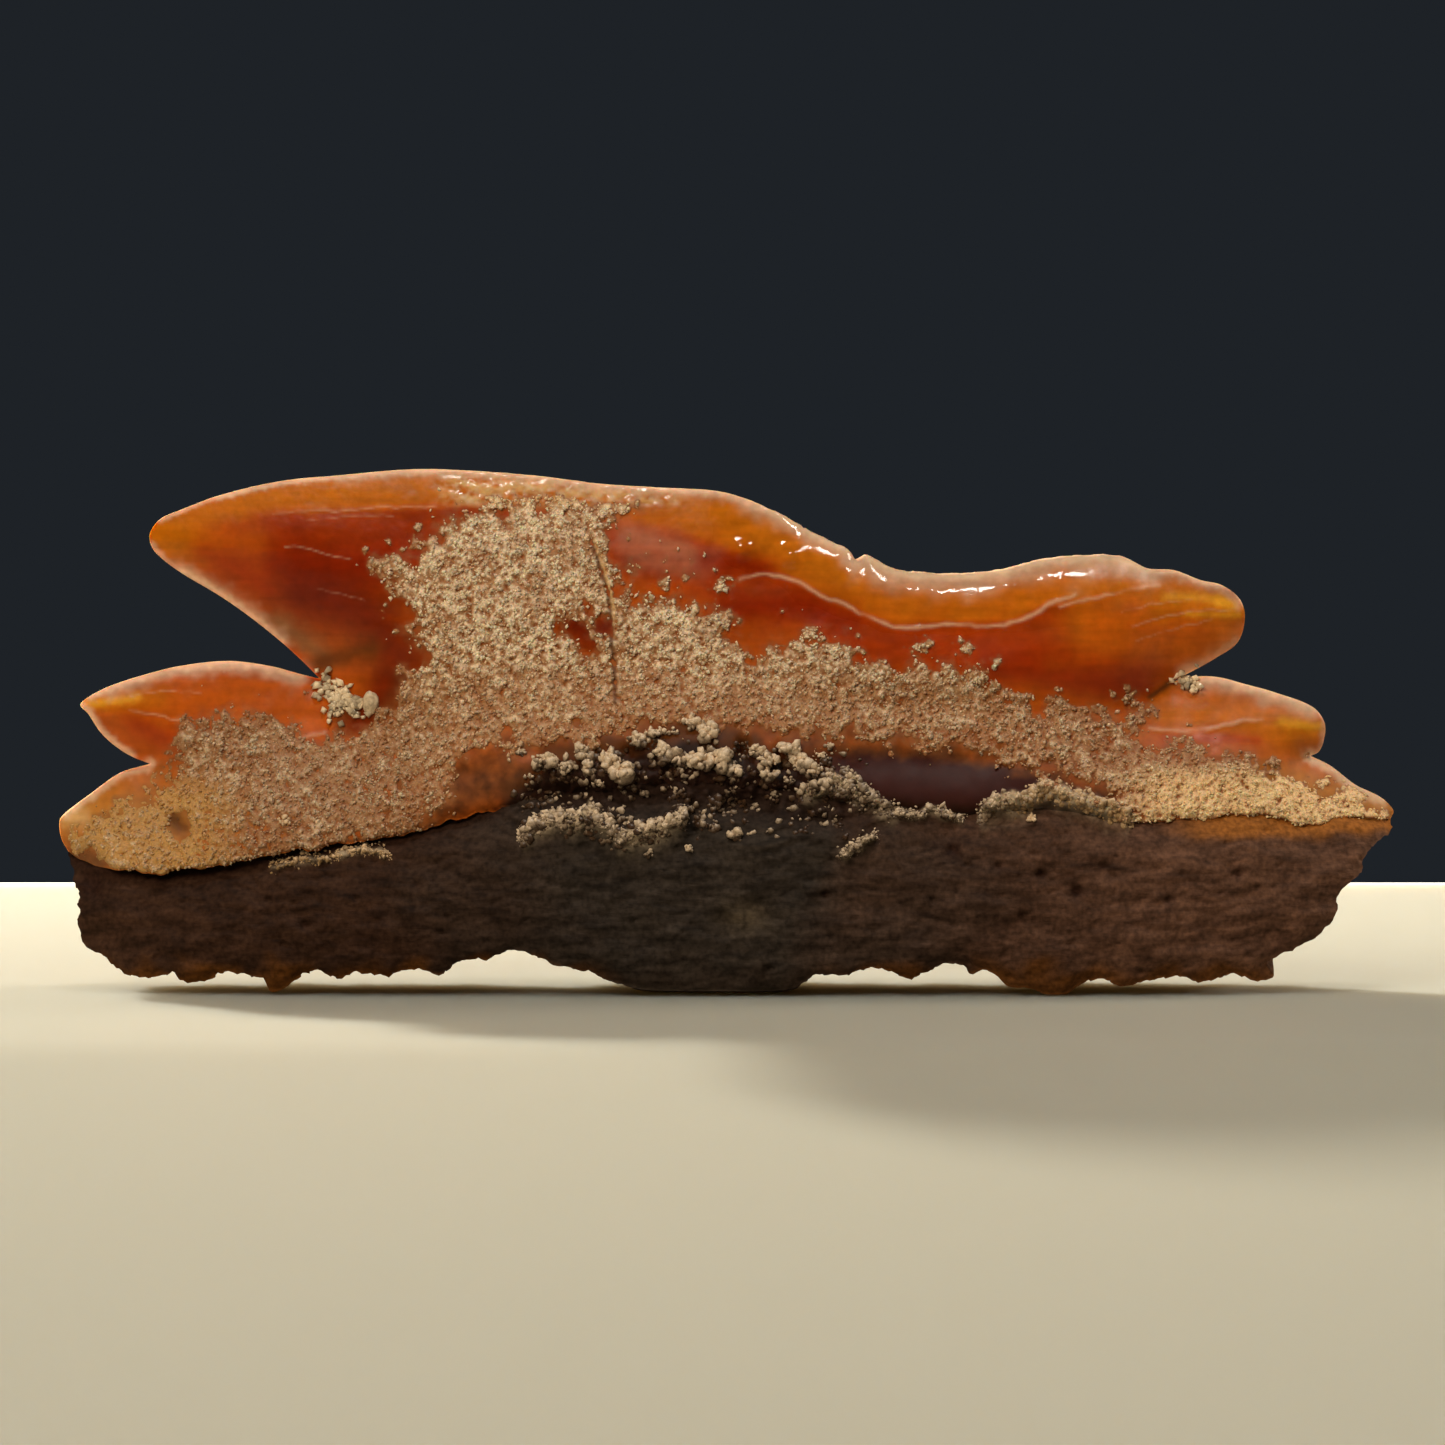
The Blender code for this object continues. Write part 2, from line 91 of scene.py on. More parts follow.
# The crown's outline, run by run from the left end of its base to the right end.
CROWN_RUNS = [
    [(-6.59, 1.37), (-6.66, 1.50), (-6.68, 1.68), (-6.62, 1.76), (-6.37, 1.95), (-6.07, 2.16),
     (-5.77, 2.25)],
    [(-5.77, 2.25), (-5.97, 2.33), (-6.15, 2.45), (-6.28, 2.58), (-6.39, 2.75), (-6.47, 2.84),
     (-6.37, 2.93), (-6.17, 3.03), (-5.87, 3.13), (-5.47, 3.23), (-4.99, 3.28), (-4.57, 3.23),
     (-4.27, 3.15), (-4.07, 3.10)],
    [(-4.07, 3.10), (-4.27, 3.30), (-4.47, 3.48), (-4.77, 3.72), (-5.07, 3.93), (-5.47, 4.17),
     (-5.69, 4.34), (-5.76, 4.44), (-5.77, 4.56), (-5.67, 4.70), (-5.47, 4.79), (-5.07, 4.94),
     (-4.47, 5.08), (-3.87, 5.14), (-3.12, 5.20), (-2.47, 5.18), (-1.87, 5.13), (-1.22, 5.05),
     (-0.73, 5.02), (-0.08, 4.98), (0.23, 4.89), (0.56, 4.74), (0.84, 4.58), (1.04, 4.48),
     (1.22, 4.39), (1.28, 4.30)],
    [(1.28, 4.30), (1.40, 4.34), (1.69, 4.20), (2.33, 4.16), (2.74, 4.20), (3.13, 4.30),
     (3.53, 4.34), (3.95, 4.33), (4.20, 4.21), (4.47, 4.19), (4.74, 4.09), (4.95, 4.04),
     (5.13, 3.90), (5.18, 3.72), (5.11, 3.47), (4.89, 3.31), (4.62, 3.16), (4.41, 3.06)],
    [(4.41, 3.06), (4.66, 3.12), (4.90, 3.12), (5.18, 3.05), (5.50, 2.96), (5.86, 2.82),
     (5.98, 2.66), (5.97, 2.48), (5.92, 2.37), (5.84, 2.33)],
    [(5.84, 2.33), (6.04, 2.23), (6.29, 2.04), (6.55, 1.91), (6.67, 1.78), (6.64, 1.70)],
]

# The root's outline, on from the crown's right end, down and back along the ragged base.
ROOT_RUN = [
    (6.64, 1.70), (6.66, 1.62), (6.51, 1.49), (6.36, 1.35), (6.33, 1.19), (6.20, 1.08),
    (6.09, 0.92), (6.09, 0.78), (5.96, 0.64), (5.84, 0.53), (5.58, 0.42), (5.37, 0.30),
    (5.45, 0.18), (5.30, 0.13), (5.05, 0.20), (4.78, 0.13), (4.49, 0.18), (4.24, 0.16),
    (3.93, 0.09), (3.72, 0.17), (3.53, 0.12), (3.38, 0.01), (3.18, 0.01), (3.03, 0.07),
    (2.80, 0.09), (2.71, 0.17), (2.56, 0.26), (2.43, 0.21), (2.33, 0.31), (2.10, 0.30),
    (1.95, 0.21), (1.78, 0.17), (1.62, 0.25), (1.38, 0.28), (1.18, 0.21), (0.88, 0.21),
    (0.70, 0.09), (0.50, 0.05), (0.00, 0.05), (-0.50, 0.05), (-0.87, 0.07), (-1.17, 0.15),
    (-1.40, 0.24), (-1.72, 0.31), (-2.12, 0.46), (-2.37, 0.37), (-2.67, 0.34), (-2.86, 0.21),
    (-3.02, 0.25), (-3.17, 0.26), (-3.37, 0.20), (-3.72, 0.23), (-3.88, 0.16), (-4.10, 0.25),
    (-4.29, 0.16), (-4.42, 0.06), (-4.55, 0.03), (-4.61, 0.14), (-4.79, 0.20), (-5.02, 0.22),
    (-5.23, 0.13), (-5.41, 0.12), (-5.51, 0.20), (-5.72, 0.16), (-5.92, 0.16), (-6.09, 0.25),
    (-6.25, 0.38), (-6.41, 0.46), (-6.48, 0.64), (-6.47, 0.94), (-6.52, 1.10), (-6.59, 1.37),
]

# Where the crown's skirt ends over the root, on the front and on the back.
FRONT_LIP = [
    (-6.59, 1.37), (-6.45, 1.29), (-6.22, 1.23), (-5.67, 1.20), (-5.07, 1.28), (-4.47, 1.40),
    (-3.42, 1.55), (-2.77, 1.72), (-2.17, 1.90), (-1.37, 2.02), (-0.37, 2.10), (0.63, 2.00),
    (1.53, 1.88), (2.33, 1.80), (3.33, 1.84), (3.93, 1.70), (4.51, 1.71), (5.30, 1.76),
    (5.81, 1.64), (6.10, 1.71), (6.64, 1.70),
]
BACK_LIP = [
    (-6.59, 1.37), (-5.60, 1.42), (-4.30, 1.62), (-2.60, 1.92), (-0.40, 2.10), (1.90, 2.02),
    (4.00, 1.86), (5.40, 1.74), (6.64, 1.70),
]

COLOURS = {
    "base_orange": (0.50, 0.092, 0.005),
    "bright_orange": (0.58, 0.155, 0.006),
    "vivid_orange": (0.62, 0.115, 0.004),
    "amber": (0.54, 0.140, 0.002),
    "yellow": (0.80, 0.340, 0.020),
    "red": (0.28, 0.016, 0.0005),
    "dark_red": (0.17, 0.011, 0.0005),
    "red_orange": (0.40, 0.038, 0.001),
    "crimson": (0.46, 0.150, 0.075),
    "olive": (0.16, 0.038, 0.003),
    "ochre": (0.46, 0.180, 0.028),
    "cream": (0.80, 0.560, 0.360),
    "pink": (0.70, 0.400, 0.240),
    "rose_brown": (0.30, 0.120, 0.040),
    "coral": (0.60, 0.200, 0.055),
    "mauve": (0.66, 0.400, 0.260),
    "purple": (0.046, 0.008, 0.004),
    "gold": (0.78, 0.470, 0.190),
    "brown": (0.10, 0.032, 0.008),
    "umber": (0.225, 0.058, 0.009),
    "shadow": (0.025, 0.010, 0.006),
}

# Colour laid over the crown's front: (colour, half-width, strength, path). Later ones lie on top.
# The amber and yellow strokes at the tips are painted glow of light shining through the thin enamel.
CROWN_STROKES = [
    # main cusp
    ("red", 0.42, 0.95, [(-4.75, 4.40), (-4.1, 4.25), (-3.3, 4.3)]),
    ("dark_red", 0.36, 0.90, [(-4.25, 3.95), (-3.6, 3.75), (-3.25, 3.3)]),
    ("bright_orange", 0.14, 0.95, [(-5.45, 4.66), (-4.77, 4.88), (-3.9, 4.99), (-2.9, 5.03)]),
    ("amber", 0.26, 0.95, [(-5.75, 4.46), (-5.40, 4.50)]),
    ("base_orange", 0.22, 0.75, [(-5.15, 4.46), (-4.75, 4.50)]),
    ("red_orange", 0.10, 0.60, [(-5.25, 4.38), (-4.9, 4.22), (-4.6, 4.02)]),
    ("rose_brown", 0.11, 0.85, [(-4.50, 3.68), (-4.25, 3.50), (-4.05, 3.34)]),
    ("olive", 0.11, 0.90, [(-4.05, 3.28), (-3.85, 3.34), (-3.55, 3.42)]),
    # blade
    ("bright_orange", 0.17, 0.95, [(-0.9, 4.84), (-0.1, 4.80), (0.3, 4.62), (0.75, 4.38), (1.2, 4.12)]),
    ("red_orange", 0.26, 0.80, [(-1.0, 4.42), (-0.5, 4.30), (-0.1, 4.14)]),
    ("crimson", 0.13, 0.80, [(-1.0, 4.56), (-0.5, 4.42), (-0.2, 4.30)]),
    ("dark_red", 0.10, 0.55, [(-1.0, 4.28), (-0.7, 4.22)]),
    ("crimson", 0.11, 0.55, [(-0.95, 4.38), (-0.6, 4.26), (-0.3, 4.22)]),
    ("red", 0.14, 0.80, [(-0.2, 4.30), (0.35, 4.25)]),
    ("red", 0.19, 0.90, [(0.0, 3.82), (0.7, 3.86), (1.2, 3.68)]),
    ("red_orange", 0.22, 0.90, [(1.2, 3.48), (2.2, 3.44), (3.2, 3.40), (4.1, 3.20)]),
    ("red", 0.16, 0.70, [(2.6, 3.24), (3.5, 3.12), (4.15, 2.98)]),
    ("bright_orange", 0.26, 0.70, [(3.6, 3.66), (4.3, 3.60), (4.9, 3.60)]),
    ("bright_orange", 0.16, 0.80, [(3.6, 4.06), (4.3, 3.98), (4.9, 3.86)]),
    ("vivid_orange", 0.24, 0.85, [(3.75, 3.62), (4.3, 3.58), (4.7, 3.62)]),
    ("amber", 0.13, 0.80, [(4.30, 3.84), (4.80, 3.84), (5.15, 3.78)]),
    ("yellow", 0.045, 0.70, [(4.40, 3.93), (4.75, 3.92), (5.05, 3.86)]),
    ("yellow", 0.07, 0.95, [(4.92, 3.88), (5.08, 3.84)]),
    ("yellow", 0.03, 0.60, [(4.60, 3.76), (5.12, 3.74)]),
    # left cusplets
    ("red_orange", 0.14, 0.80, [(-5.9, 2.66), (-5.5, 2.50), (-5.2, 2.6)]),
    ("base_orange", 0.20, 0.80, [(-5.6, 2.94), (-4.9, 2.98), (-4.3, 2.9)]),
    ("amber", 0.12, 0.70, [(-6.35, 2.86), (-5.7, 2.92)]),
    ("yellow", 0.045, 0.85, [(-6.47, 2.85), (-6.15, 2.88), (-5.9, 2.92)]),
    ("brown", 0.15, 0.80, [(-3.85, 2.72), (-3.50, 2.80), (-3.3, 3.05)]),
    ("ochre", 0.42, 0.95, [(-6.6, 1.78), (-5.6, 1.66), (-4.4, 1.64)]),
    # Painted shade in two pits at the base.
    ("shadow", 0.06, 0.95, [(-5.53, 1.72), (-5.48, 1.64), (-5.44, 1.62)]),
    ("shadow", 0.10, 0.90, [(-6.50, 1.34), (-6.36, 1.30), (-6.28, 1.28)]),
    ("base_orange", 0.24, 0.60, [(-5.2, 1.42), (-4.4, 1.58), (-3.4, 1.70)]),
    ("gold", 0.10, 0.60, [(-6.62, 1.72), (-6.45, 1.70)]),
    # right cusplets
    ("bright_orange", 0.22, 0.80, [(4.4, 2.76), (5.2, 2.74), (5.8, 2.62)]),
    ("red_orange", 0.06, 0.70, [(4.4, 2.52), (4.9, 2.52), (5.3, 2.50)]),
    ("amber", 0.10, 0.80, [(5.3, 2.68), (5.95, 2.58)]),
    ("yellow", 0.05, 0.90, [(5.55, 2.68), (5.95, 2.62)]),
    ("ochre", 0.25, 0.90, [(5.4, 2.1), (6.6, 1.78)]),
    # base of the crown
    ("umber", 0.26, 0.90, [(-2.9, 2.05), (-2.2, 2.36), (-1.2, 2.62), (-0.3, 2.74), (0.8, 2.60),
    (2.0, 2.50), (3.2, 2.34),
                           (4.2, 2.02)]),
    ("umber", 0.26, 0.95, [(-3.3, 1.75), (-2.8, 1.98), (-2.3, 2.12), (-1.9, 2.20)]),
    ("brown", 0.16, 0.60, [(-2.9, 1.90), (-2.5, 2.04), (-2.1, 2.16)]),
    ("crimson", 0.07, 0.50, [(-2.15, 2.42), (-1.98, 2.36)]),
    ("dark_red", 0.20, 0.95, [(-1.55, 3.68), (-1.35, 3.56), (-1.20, 3.66)]),
    ("dark_red", 0.14, 0.80, [(-3.42, 3.10), (-3.55, 2.84), (-3.70, 2.66)]),
    ("brown", 0.03, 0.90, [(4.62, 3.15), (4.42, 3.05), (4.23, 2.93)]),
]

# The upper edge of the dark stain and painted shade over the middle of the crown's base.
DARK_BASE_EDGE = [
    (-2.40, 1.95), (-2.05, 2.22), (-1.80, 2.46), (-1.30, 2.54), (-0.80, 2.62), (-0.35, 2.74), (0.05, 2.66),
    (0.40, 2.52), (0.90, 2.48), (1.40, 2.46), (2.00, 2.44), (2.60, 2.34), (3.20, 2.20), (3.70, 2.06),
    (4.20, 1.86),
]
# The line along which the clear outer band of the crown meets its deep red body.
BAND_LINE = [
    (-5.80, 4.50), (-5.30, 4.60), (-4.90, 4.70), (-4.47, 4.79), (-3.77, 4.80), (-2.67, 4.86), (-1.60, 4.80),
    (-0.90, 4.68), (-0.40, 4.55), (0.10, 4.36), (0.50, 4.20), (0.93, 3.96), (1.33, 3.78), (1.68, 3.64),
    (2.18, 3.67), (2.83, 3.68), (3.23, 3.87), (3.63, 3.92), (4.08, 4.02), (4.60, 3.92), (5.20, 3.76),
]
# Painted rim light along the crown's edges: (colour, half-width, strength, run, first point, last point).
# The pale rims stand for highlights along the edges and for light shining through the thin enamel there.
CROWN_RIM_LIGHT = [
    ("amber", 0.080, 0.60, 2, 7, 10),
    ("cream", 0.035, 0.75, 2, 9, 13),
    ("mauve", 0.080, 0.75, 2, 13, 20),
    ("cream", 0.045, 0.95, 2, 11, 20),
    ("mauve", 0.130, 0.80, 2, 20, 25),
    ("cream", 0.050, 0.95, 2, 20, 25),
    ("mauve", 0.190, 0.85, 3, 1, 8),
    ("cream", 0.060, 0.95, 3, 1, 8),
    ("mauve", 0.080, 0.70, 3, 8, 12),
    ("cream", 0.035, 0.90, 3, 8, 11),
    ("coral", 0.120, 0.90, 3, 14, 16),
    ("pink", 0.050, 0.60, 3, 14, 16),
    ("pink", 0.045, 0.90, 2, 4, 7),
    ("pink", 0.110, 0.70, 2, 2, 5),
    ("cream", 0.050, 0.85, 2, 2, 5),
    ("mauve", 0.110, 0.85, 1, 7, 12),
    ("cream", 0.050, 0.95, 1, 6, 12),
    ("cream", 0.055, 0.85, 1, 1, 5),
    ("cream", 0.060, 0.70, 0, 3, 6),
    ("mauve", 0.140, 0.85, 4, 1, 5),
    ("cream", 0.055, 0.95, 4, 1, 5),
    ("mauve", 0.040, 0.60, 4, 6, 9),
    ("cream", 0.070, 0.80, 5, 0, 3),
]

# Fine pale lines standing just proud of the enamel, and fainter streaks: (half-width, strength, path).
RIDGE_LINES = [
    (0.017, 0.95, [(0.13, 4.12), (0.38, 4.16), (0.73, 4.08), (0.93, 3.96), (1.18, 3.86), (1.33, 3.78),
                   (1.53, 3.70), (1.68, 3.64), (1.93, 3.64), (2.18, 3.67), (2.58, 3.65), (2.83, 3.68),
                   (3.03, 3.75), (3.23, 3.87), (3.48, 3.96)]),
    (0.016, 0.70, [(3.33, 3.85), (3.63, 3.92), (4.08, 4.02), (4.33, 4.04)]),
    (0.009, 0.50, [(-4.55, 4.76), (-4.10, 4.80), (-3.77, 4.79), (-3.30, 4.83), (-2.90, 4.82)]),
    (0.007, 0.30, [(-4.20, 4.70), (-3.80, 4.735), (-3.35, 4.75)]),
    (0.009, 0.45, [(4.05, 3.64), (4.40, 3.74), (4.75, 3.79), (5.13, 3.78)]),
    (0.008, 0.35, [(4.10, 3.50), (4.45, 3.61), (4.85, 3.70)]),
    (0.008, 0.35, [(3.95, 3.78), (4.30, 3.87), (4.65, 3.89)]),
    (0.008, 0.45, [(-4.42, 4.44), (-4.20, 4.43), (-3.97, 4.35), (-3.77, 4.33)]),
    (0.007, 0.30, [(-4.10, 4.02), (-3.85, 3.97), (-3.62, 3.90)]),
    (0.016, 0.70, [(4.23, 2.63), (4.53, 2.59), (4.88, 2.62), (5.13, 2.68), (5.35, 2.70)]),
    (0.010, 0.55, [(-5.97, 2.80), (-5.72, 2.75), (-5.47, 2.70)]),
    (0.008, 0.40, [(-5.97, 2.94), (-5.60, 2.98), (-5.27, 2.96)]),
    (0.016, 0.60, [(-4.45, 2.48), (-4.27, 2.52), (-4.02, 2.58)]),
]
RIDGE_HEIGHT = 0.012

# The sediment crust on the crown's front: its edge, and the bare holes in it (x, z, radius).
CRUST_EDGE = [
    (-3.62, 4.37), (-3.30, 4.42), (-3.12, 4.50), (-2.92, 4.70), (-2.68, 4.86), (-2.30, 4.96), (-1.80, 4.98),
    (-1.30, 4.94), (-0.80, 4.90), (-0.60, 4.84), (-1.05, 4.70), (-1.05, 4.40), (-0.90, 4.14), (-0.72, 4.04),
    (-0.27, 3.92), (-0.02, 3.98),
    (0.08, 3.70), (0.33, 3.50), (0.73, 3.62), (1.08, 3.65), (1.53, 3.35), (1.98, 3.38), (2.58, 3.28),
    (2.93, 3.00), (3.33, 2.90), (4.13, 2.90), (4.33, 2.80), (4.25, 2.66), (4.75, 2.50), (5.20, 2.43),
    (5.65, 2.24),
    (6.05, 2.20), (6.40, 2.00), (6.66, 1.85), (6.60, 1.40), (5.13, 1.40), (3.80, 1.45), (3.80, 1.90),
    (3.33, 2.12), (2.83, 2.18), (2.33, 2.32), (1.53, 2.42), (0.73, 2.47), (0.03, 2.55), (-0.67, 2.60),
    (-1.37, 2.48), (-1.97, 2.38), (-2.45, 2.36), (-2.60, 2.20), (-2.66, 1.98), (-2.90, 1.55),
    (-4.07, 1.22), (-4.90, 0.95), (-5.77, 0.95), (-6.50, 0.95), (-6.65, 1.50), (-6.25, 1.88),
    (-5.77, 2.16), (-5.58, 2.48), (-5.48, 2.76), (-5.02, 2.86), (-4.47, 2.80), (-4.27, 2.70),
    (-3.97, 2.60), (-3.77, 2.66), (-3.48, 2.86), (-3.34, 3.00), (-3.26, 3.20), (-3.12, 3.40),
    (-3.27, 3.55), (-3.22, 3.75), (-3.29, 3.85), (-3.52, 4.02), (-3.62, 4.20),
]
CRUST_HOLES = [
    (-1.44, 3.60, 0.06), (-1.28, 3.70, 0.02), (-0.95, 4.16, 0.12), (-0.85, 4.35, 0.12), (-2.38, 2.20, 0.16),
    (-3.60, 2.76, 0.08), (-2.05, 2.20, 0.16),
]
# A hairline crack down through the crust, and the groove a little to the left of it.
HAIRLINE = [(-1.32, 4.50), (-1.22, 4.20), (-1.14, 3.90), (-1.12, 3.55), (-1.09, 3.20), (-1.08, 2.90)]
HAIRLINE_GROOVE = -0.035
HAIRLINE_DEPTH = 0.016
# Small patches of crust standing off its edge: x, z, radius.
CRUST_ISLANDS = [
    (-0.95, 4.22, 0.08), (-0.62, 4.08, 0.07), (-0.42, 4.14, 0.05), (-0.06, 4.04, 0.07), (0.02, 4.12, 0.04),
    (-0.80, 4.37, 0.025), (-0.62, 4.30, 0.03), (-0.50, 4.40, 0.02), (-0.35, 4.28, 0.025),
    (-0.22, 4.36, 0.02),
    (-0.98, 4.52, 0.03), (-0.12, 4.22, 0.03), (-0.68, 4.50, 0.02), (1.92, 3.44, 0.08), (2.02, 3.48, 0.05),
    (2.40, 3.42, 0.07), (2.34, 3.50, 0.04), (2.70, 3.30, 0.05), (3.30, 3.02, 0.04), (4.00, 3.02, 0.05),
    (3.85, 2.96, 0.04), (-3.38, 4.50, 0.03), (-3.08, 4.64, 0.04), (-3.62, 4.40, 0.04), (4.60, 2.66, 0.03),
    (0.55, 3.80, 0.03), (1.30, 3.56, 0.03), (-4.20, 2.96, 0.02), (-3.30, 3.60, 0.04), (-3.42, 3.86, 0.03),
]
CRUST_THICKNESS = 0.034
CRUST_SUNK = -0.02
CRUST_OVERREACH = 0.22
# Where the crust's mesh is torn, its longest side in spacings.
CRUST_LONGEST = 2.2
# Where the crust is thin and lets the enamel through: x, z, reach along x, reach along z, how thin.
SPARSE_CRUST = [
    (-0.90, 4.30, 0.30, 0.25, 0.7), (-0.10, 2.72, 0.60, 0.16, 0.30), (-1.1, 3.0, 0.5, 0.5, 0.10),
    (2.0, 2.50, 1.2, 0.12, 0.40), (4.0, 2.60, 0.5, 0.35, 0.35), (4.9, 2.35, 0.5, 0.10, 0.25),
    (-5.0, 1.60, 0.8, 0.26, 0.45), (-3.2, 2.00, 0.6, 0.40, 0.35), (-5.9, 2.0, 0.4, 0.25, 0.5),
    (-3.35, 4.15, 0.2, 0.3, 0.20), (-1.1, 4.95, 0.35, 0.12, 0.35), (-4.9, 2.75, 0.5, 0.12, 0.3),
]

# Small grains of sediment lying on the crust: where, how many tries, and their sizes.
GRAIN_SEED = 7
GRAIN_AREA = ((-6.6, 1.2), (6.6, 5.15))
GRAIN_TRIES = 105000
GRAIN_RADIUS = (0.008, 0.020)
# Crumbs in the junction: where, and how many tries.
RUBBLE_AREA = ((-2.2, 1.35), (1.6, 2.75))
RUBBLE_TRIES = 9000

# Hard nodules along the junction: x, z, radius along x, radius along z, how pale.
NODULES = [
    (-1.79, 2.34, 0.18, 0.09, 0.8), (-1.60, 2.26, 0.10, 0.07, 0.6), (-1.45, 2.42, 0.11, 0.09, 0.7),
    (-1.38, 2.26, 0.07, 0.12, 0.8), (-1.18, 2.34, 0.09, 0.11, 1.0), (-1.05, 2.24, 0.11, 0.11, 1.0),
    (-0.88, 2.54, 0.11, 0.08, 0.7), (-0.75, 2.60, 0.09, 0.07, 0.7), (-0.60, 2.62, 0.14, 0.04, 0.8),
    (-0.62, 2.40, 0.15, 0.10, 0.7), (-0.47, 2.32, 0.09, 0.07, 0.6), (-0.34, 2.70, 0.10, 0.08, 0.8),
    (-0.17, 2.60, 0.11, 0.10, 1.0), (-0.26, 2.33, 0.13, 0.10, 0.9), (-0.04, 2.34, 0.12, 0.12, 0.9),
    (0.05, 2.24, 0.09, 0.09, 0.7), (0.30, 2.42, 0.11, 0.08, 0.8), (0.40, 2.32, 0.11, 0.08, 0.9),
    (0.42, 2.20, 0.08, 0.07, 0.7), (0.63, 2.44, 0.12, 0.09, 1.0), (0.76, 2.30, 0.11, 0.09, 0.8),
    (0.86, 2.22, 0.09, 0.08, 0.8), (0.95, 2.37, 0.11, 0.04, 0.7), (0.10, 1.62, 0.09, 0.07, 0.9),
    (-0.37, 1.47, 0.06, 0.05, 0.8), (-0.78, 1.42, 0.05, 0.04, 0.5), (0.02, 2.06, 0.10, 0.05, 0.4),
    (-1.96, 2.18, 0.07, 0.04, 0.5), (-2.05, 2.42, 0.05, 0.04, 0.6), (-1.27, 2.10, 0.07, 0.04, 0.4),
    (0.62, 2.14, 0.07, 0.04, 0.4), (1.02, 2.48, 0.06, 0.04, 0.6), (3.03, 1.76, 0.06, 0.05, 0.9),
    (-4.41, 1.72, 0.07, 0.05, 1.1),
]
# How many lumps each nodule has at least, and how many more for its size in square millimetres.
NODULE_LUMPS = 14
LUMPS_PER_AREA = 2000
# Ledges of the same crust: how pale, how far they reach down, the size of their crumbs, top edge.
LEDGES = [
    (0.85, 0.16, 0.056, [(-2.07, 1.65), (-1.87, 1.78), (-1.67, 1.84), (-1.47, 1.82), (-1.35, 1.90),
                         (-1.22, 1.78), (-1.12, 1.70)]),
    (0.85, 0.18, 0.054, [(-1.12, 1.65), (-0.87, 1.70), (-0.67, 1.74), (-0.52, 1.82), (-0.39, 1.90)]),
    (0.80, 0.14, 0.050, [(0.72, 2.06), (0.92, 2.14), (1.10, 2.18), (1.25, 2.10), (1.35, 1.95)]),
    (0.60, 0.16, 0.050, [(1.15, 2.28), (1.35, 2.12), (1.50, 1.98), (1.70, 1.88)]),
    (0.85, 0.06, 0.036, [(1.66, 1.86), (1.88, 1.83), (2.05, 1.87), (2.20, 1.83), (2.36, 1.78)]),
    (0.70, 0.20, 0.050, [(2.50, 1.88), (2.70, 2.00), (2.95, 2.02), (3.15, 2.14), (3.35, 2.08), (3.55, 2.02),
                         (3.80, 1.94), (4.05, 1.84)]),
    (0.85, 0.07, 0.034, [(1.12, 1.44), (1.26, 1.50), (1.38, 1.60), (1.50, 1.64)]),
    (0.75, 0.05, 0.032, [(-3.95, 1.40), (-3.70, 1.46), (-3.50, 1.46), (-3.36, 1.42)]),
    (0.40, 0.05, 0.032, [(-4.55, 1.30), (-4.25, 1.36), (-3.95, 1.38)]),
]
LEDGE_HEIGHT = 0.13
# Low swellings near the blade's edge that catch the light: x, z, reach along x, reach along z, height.
BLADE_BUMPS = [(0.16, 4.41, 0.14, 0.11, 0.085), (0.64, 4.34, 0.14, 0.11, 0.080)]
# Hollows in the dark junction and a broad one beside it, in the same form, with their depths.
BASE_HOLLOW = [(1.9, 2.30, 1.1, 0.20, 0.07)]
CAVITIES = [
    (-1.60, 2.02, 0.30, 0.09, 0.16), (-0.82, 1.95, 0.34, 0.11, 0.22), (-0.32, 1.70, 0.09, 0.20, 0.16),
    (0.25, 1.88, 0.42, 0.14, 0.20), (0.95, 1.74, 0.36, 0.10, 0.12), (-0.95, 2.42, 0.10, 0.06, 0.10),
    (0.16, 2.42, 0.06, 0.12, 0.14), (0.52, 2.34, 0.05, 0.10, 0.12), (-1.30, 2.40, 0.05, 0.08, 0.08),
    (2.65, 1.74, 0.25, 0.06, 0.10),
]
# Small dark pits in the crown's crust and in the root: x, z, radius, depth.
CRUST_PITS = [(-5.49, 1.68, 0.080, 0.14), (-5.44, 1.60, 0.060, 0.12), (-6.38, 1.33, 0.10, 0.10),
(-6.24, 1.22, 0.08, 0.08),
              (-4.59, 3.66, 0.03, 0.03)]
ROOT_PITS = [
    (3.13, 1.22, 0.05, 0.08), (3.48, 1.04, 0.06, 0.10), (0.98, 1.02, 0.04, 0.06), (2.25, 1.45, 0.08, 0.08),
    (-6.35, 1.06, 0.12, 0.10), (4.40, 0.95, 0.04, 0.05), (2.70, 1.30, 0.04, 0.06),
    (3.75, 1.30, 0.035, 0.05),
    (2.95, 0.80, 0.05, 0.05), (-4.20, 0.70, 0.05, 0.05), (-3.10, 1.10, 0.05, 0.04),
    (5.10, 1.20, 0.05, 0.05),
]


def smooth_curve(points, step):
    """Points along a smooth curve through these ones, which it keeps, no further than step apart."""
    points = np.array(points, float)
    chords = np.linalg.norm(np.diff(points, axis=0), axis=1)
    times = np.concatenate([[0.0], np.cumsum(chords)])
    slopes = np.empty_like(points)
    slopes[1:-1] = (points[2:] - points[:-2]) / (times[2:] - times[:-2])[:, None]
    slopes[0] = (points[1] - points[0]) / chords[0]
    slopes[-1] = (points[-1] - points[-2]) / chords[-1]
    curve = []
    for i, chord in enumerate(chords):
        count = max(1, math.ceil(chord / step))
        for k in range(count):
            t = k / count
            from_start = points[i] * (1 + 2 * t) * (1 - t) ** 2 + slopes[i] * chord * t * (1 - t) ** 2
            from_end = points[i + 1] * t * t * (3 - 2 * t) - slopes[i + 1] * chord * t * t * (1 - t)
            curve.append(from_start + from_end)
    curve.append(points[-1])
    return np.array(curve)


def smoothstep(share):
    share = np.clip(share, 0, 1)
    return share * share * (3 - 2 * share)


def rise(values, start, reach):
    """0 up to the start, then smoothly up to 1 over the reach."""
    return smoothstep((values - start) / reach)


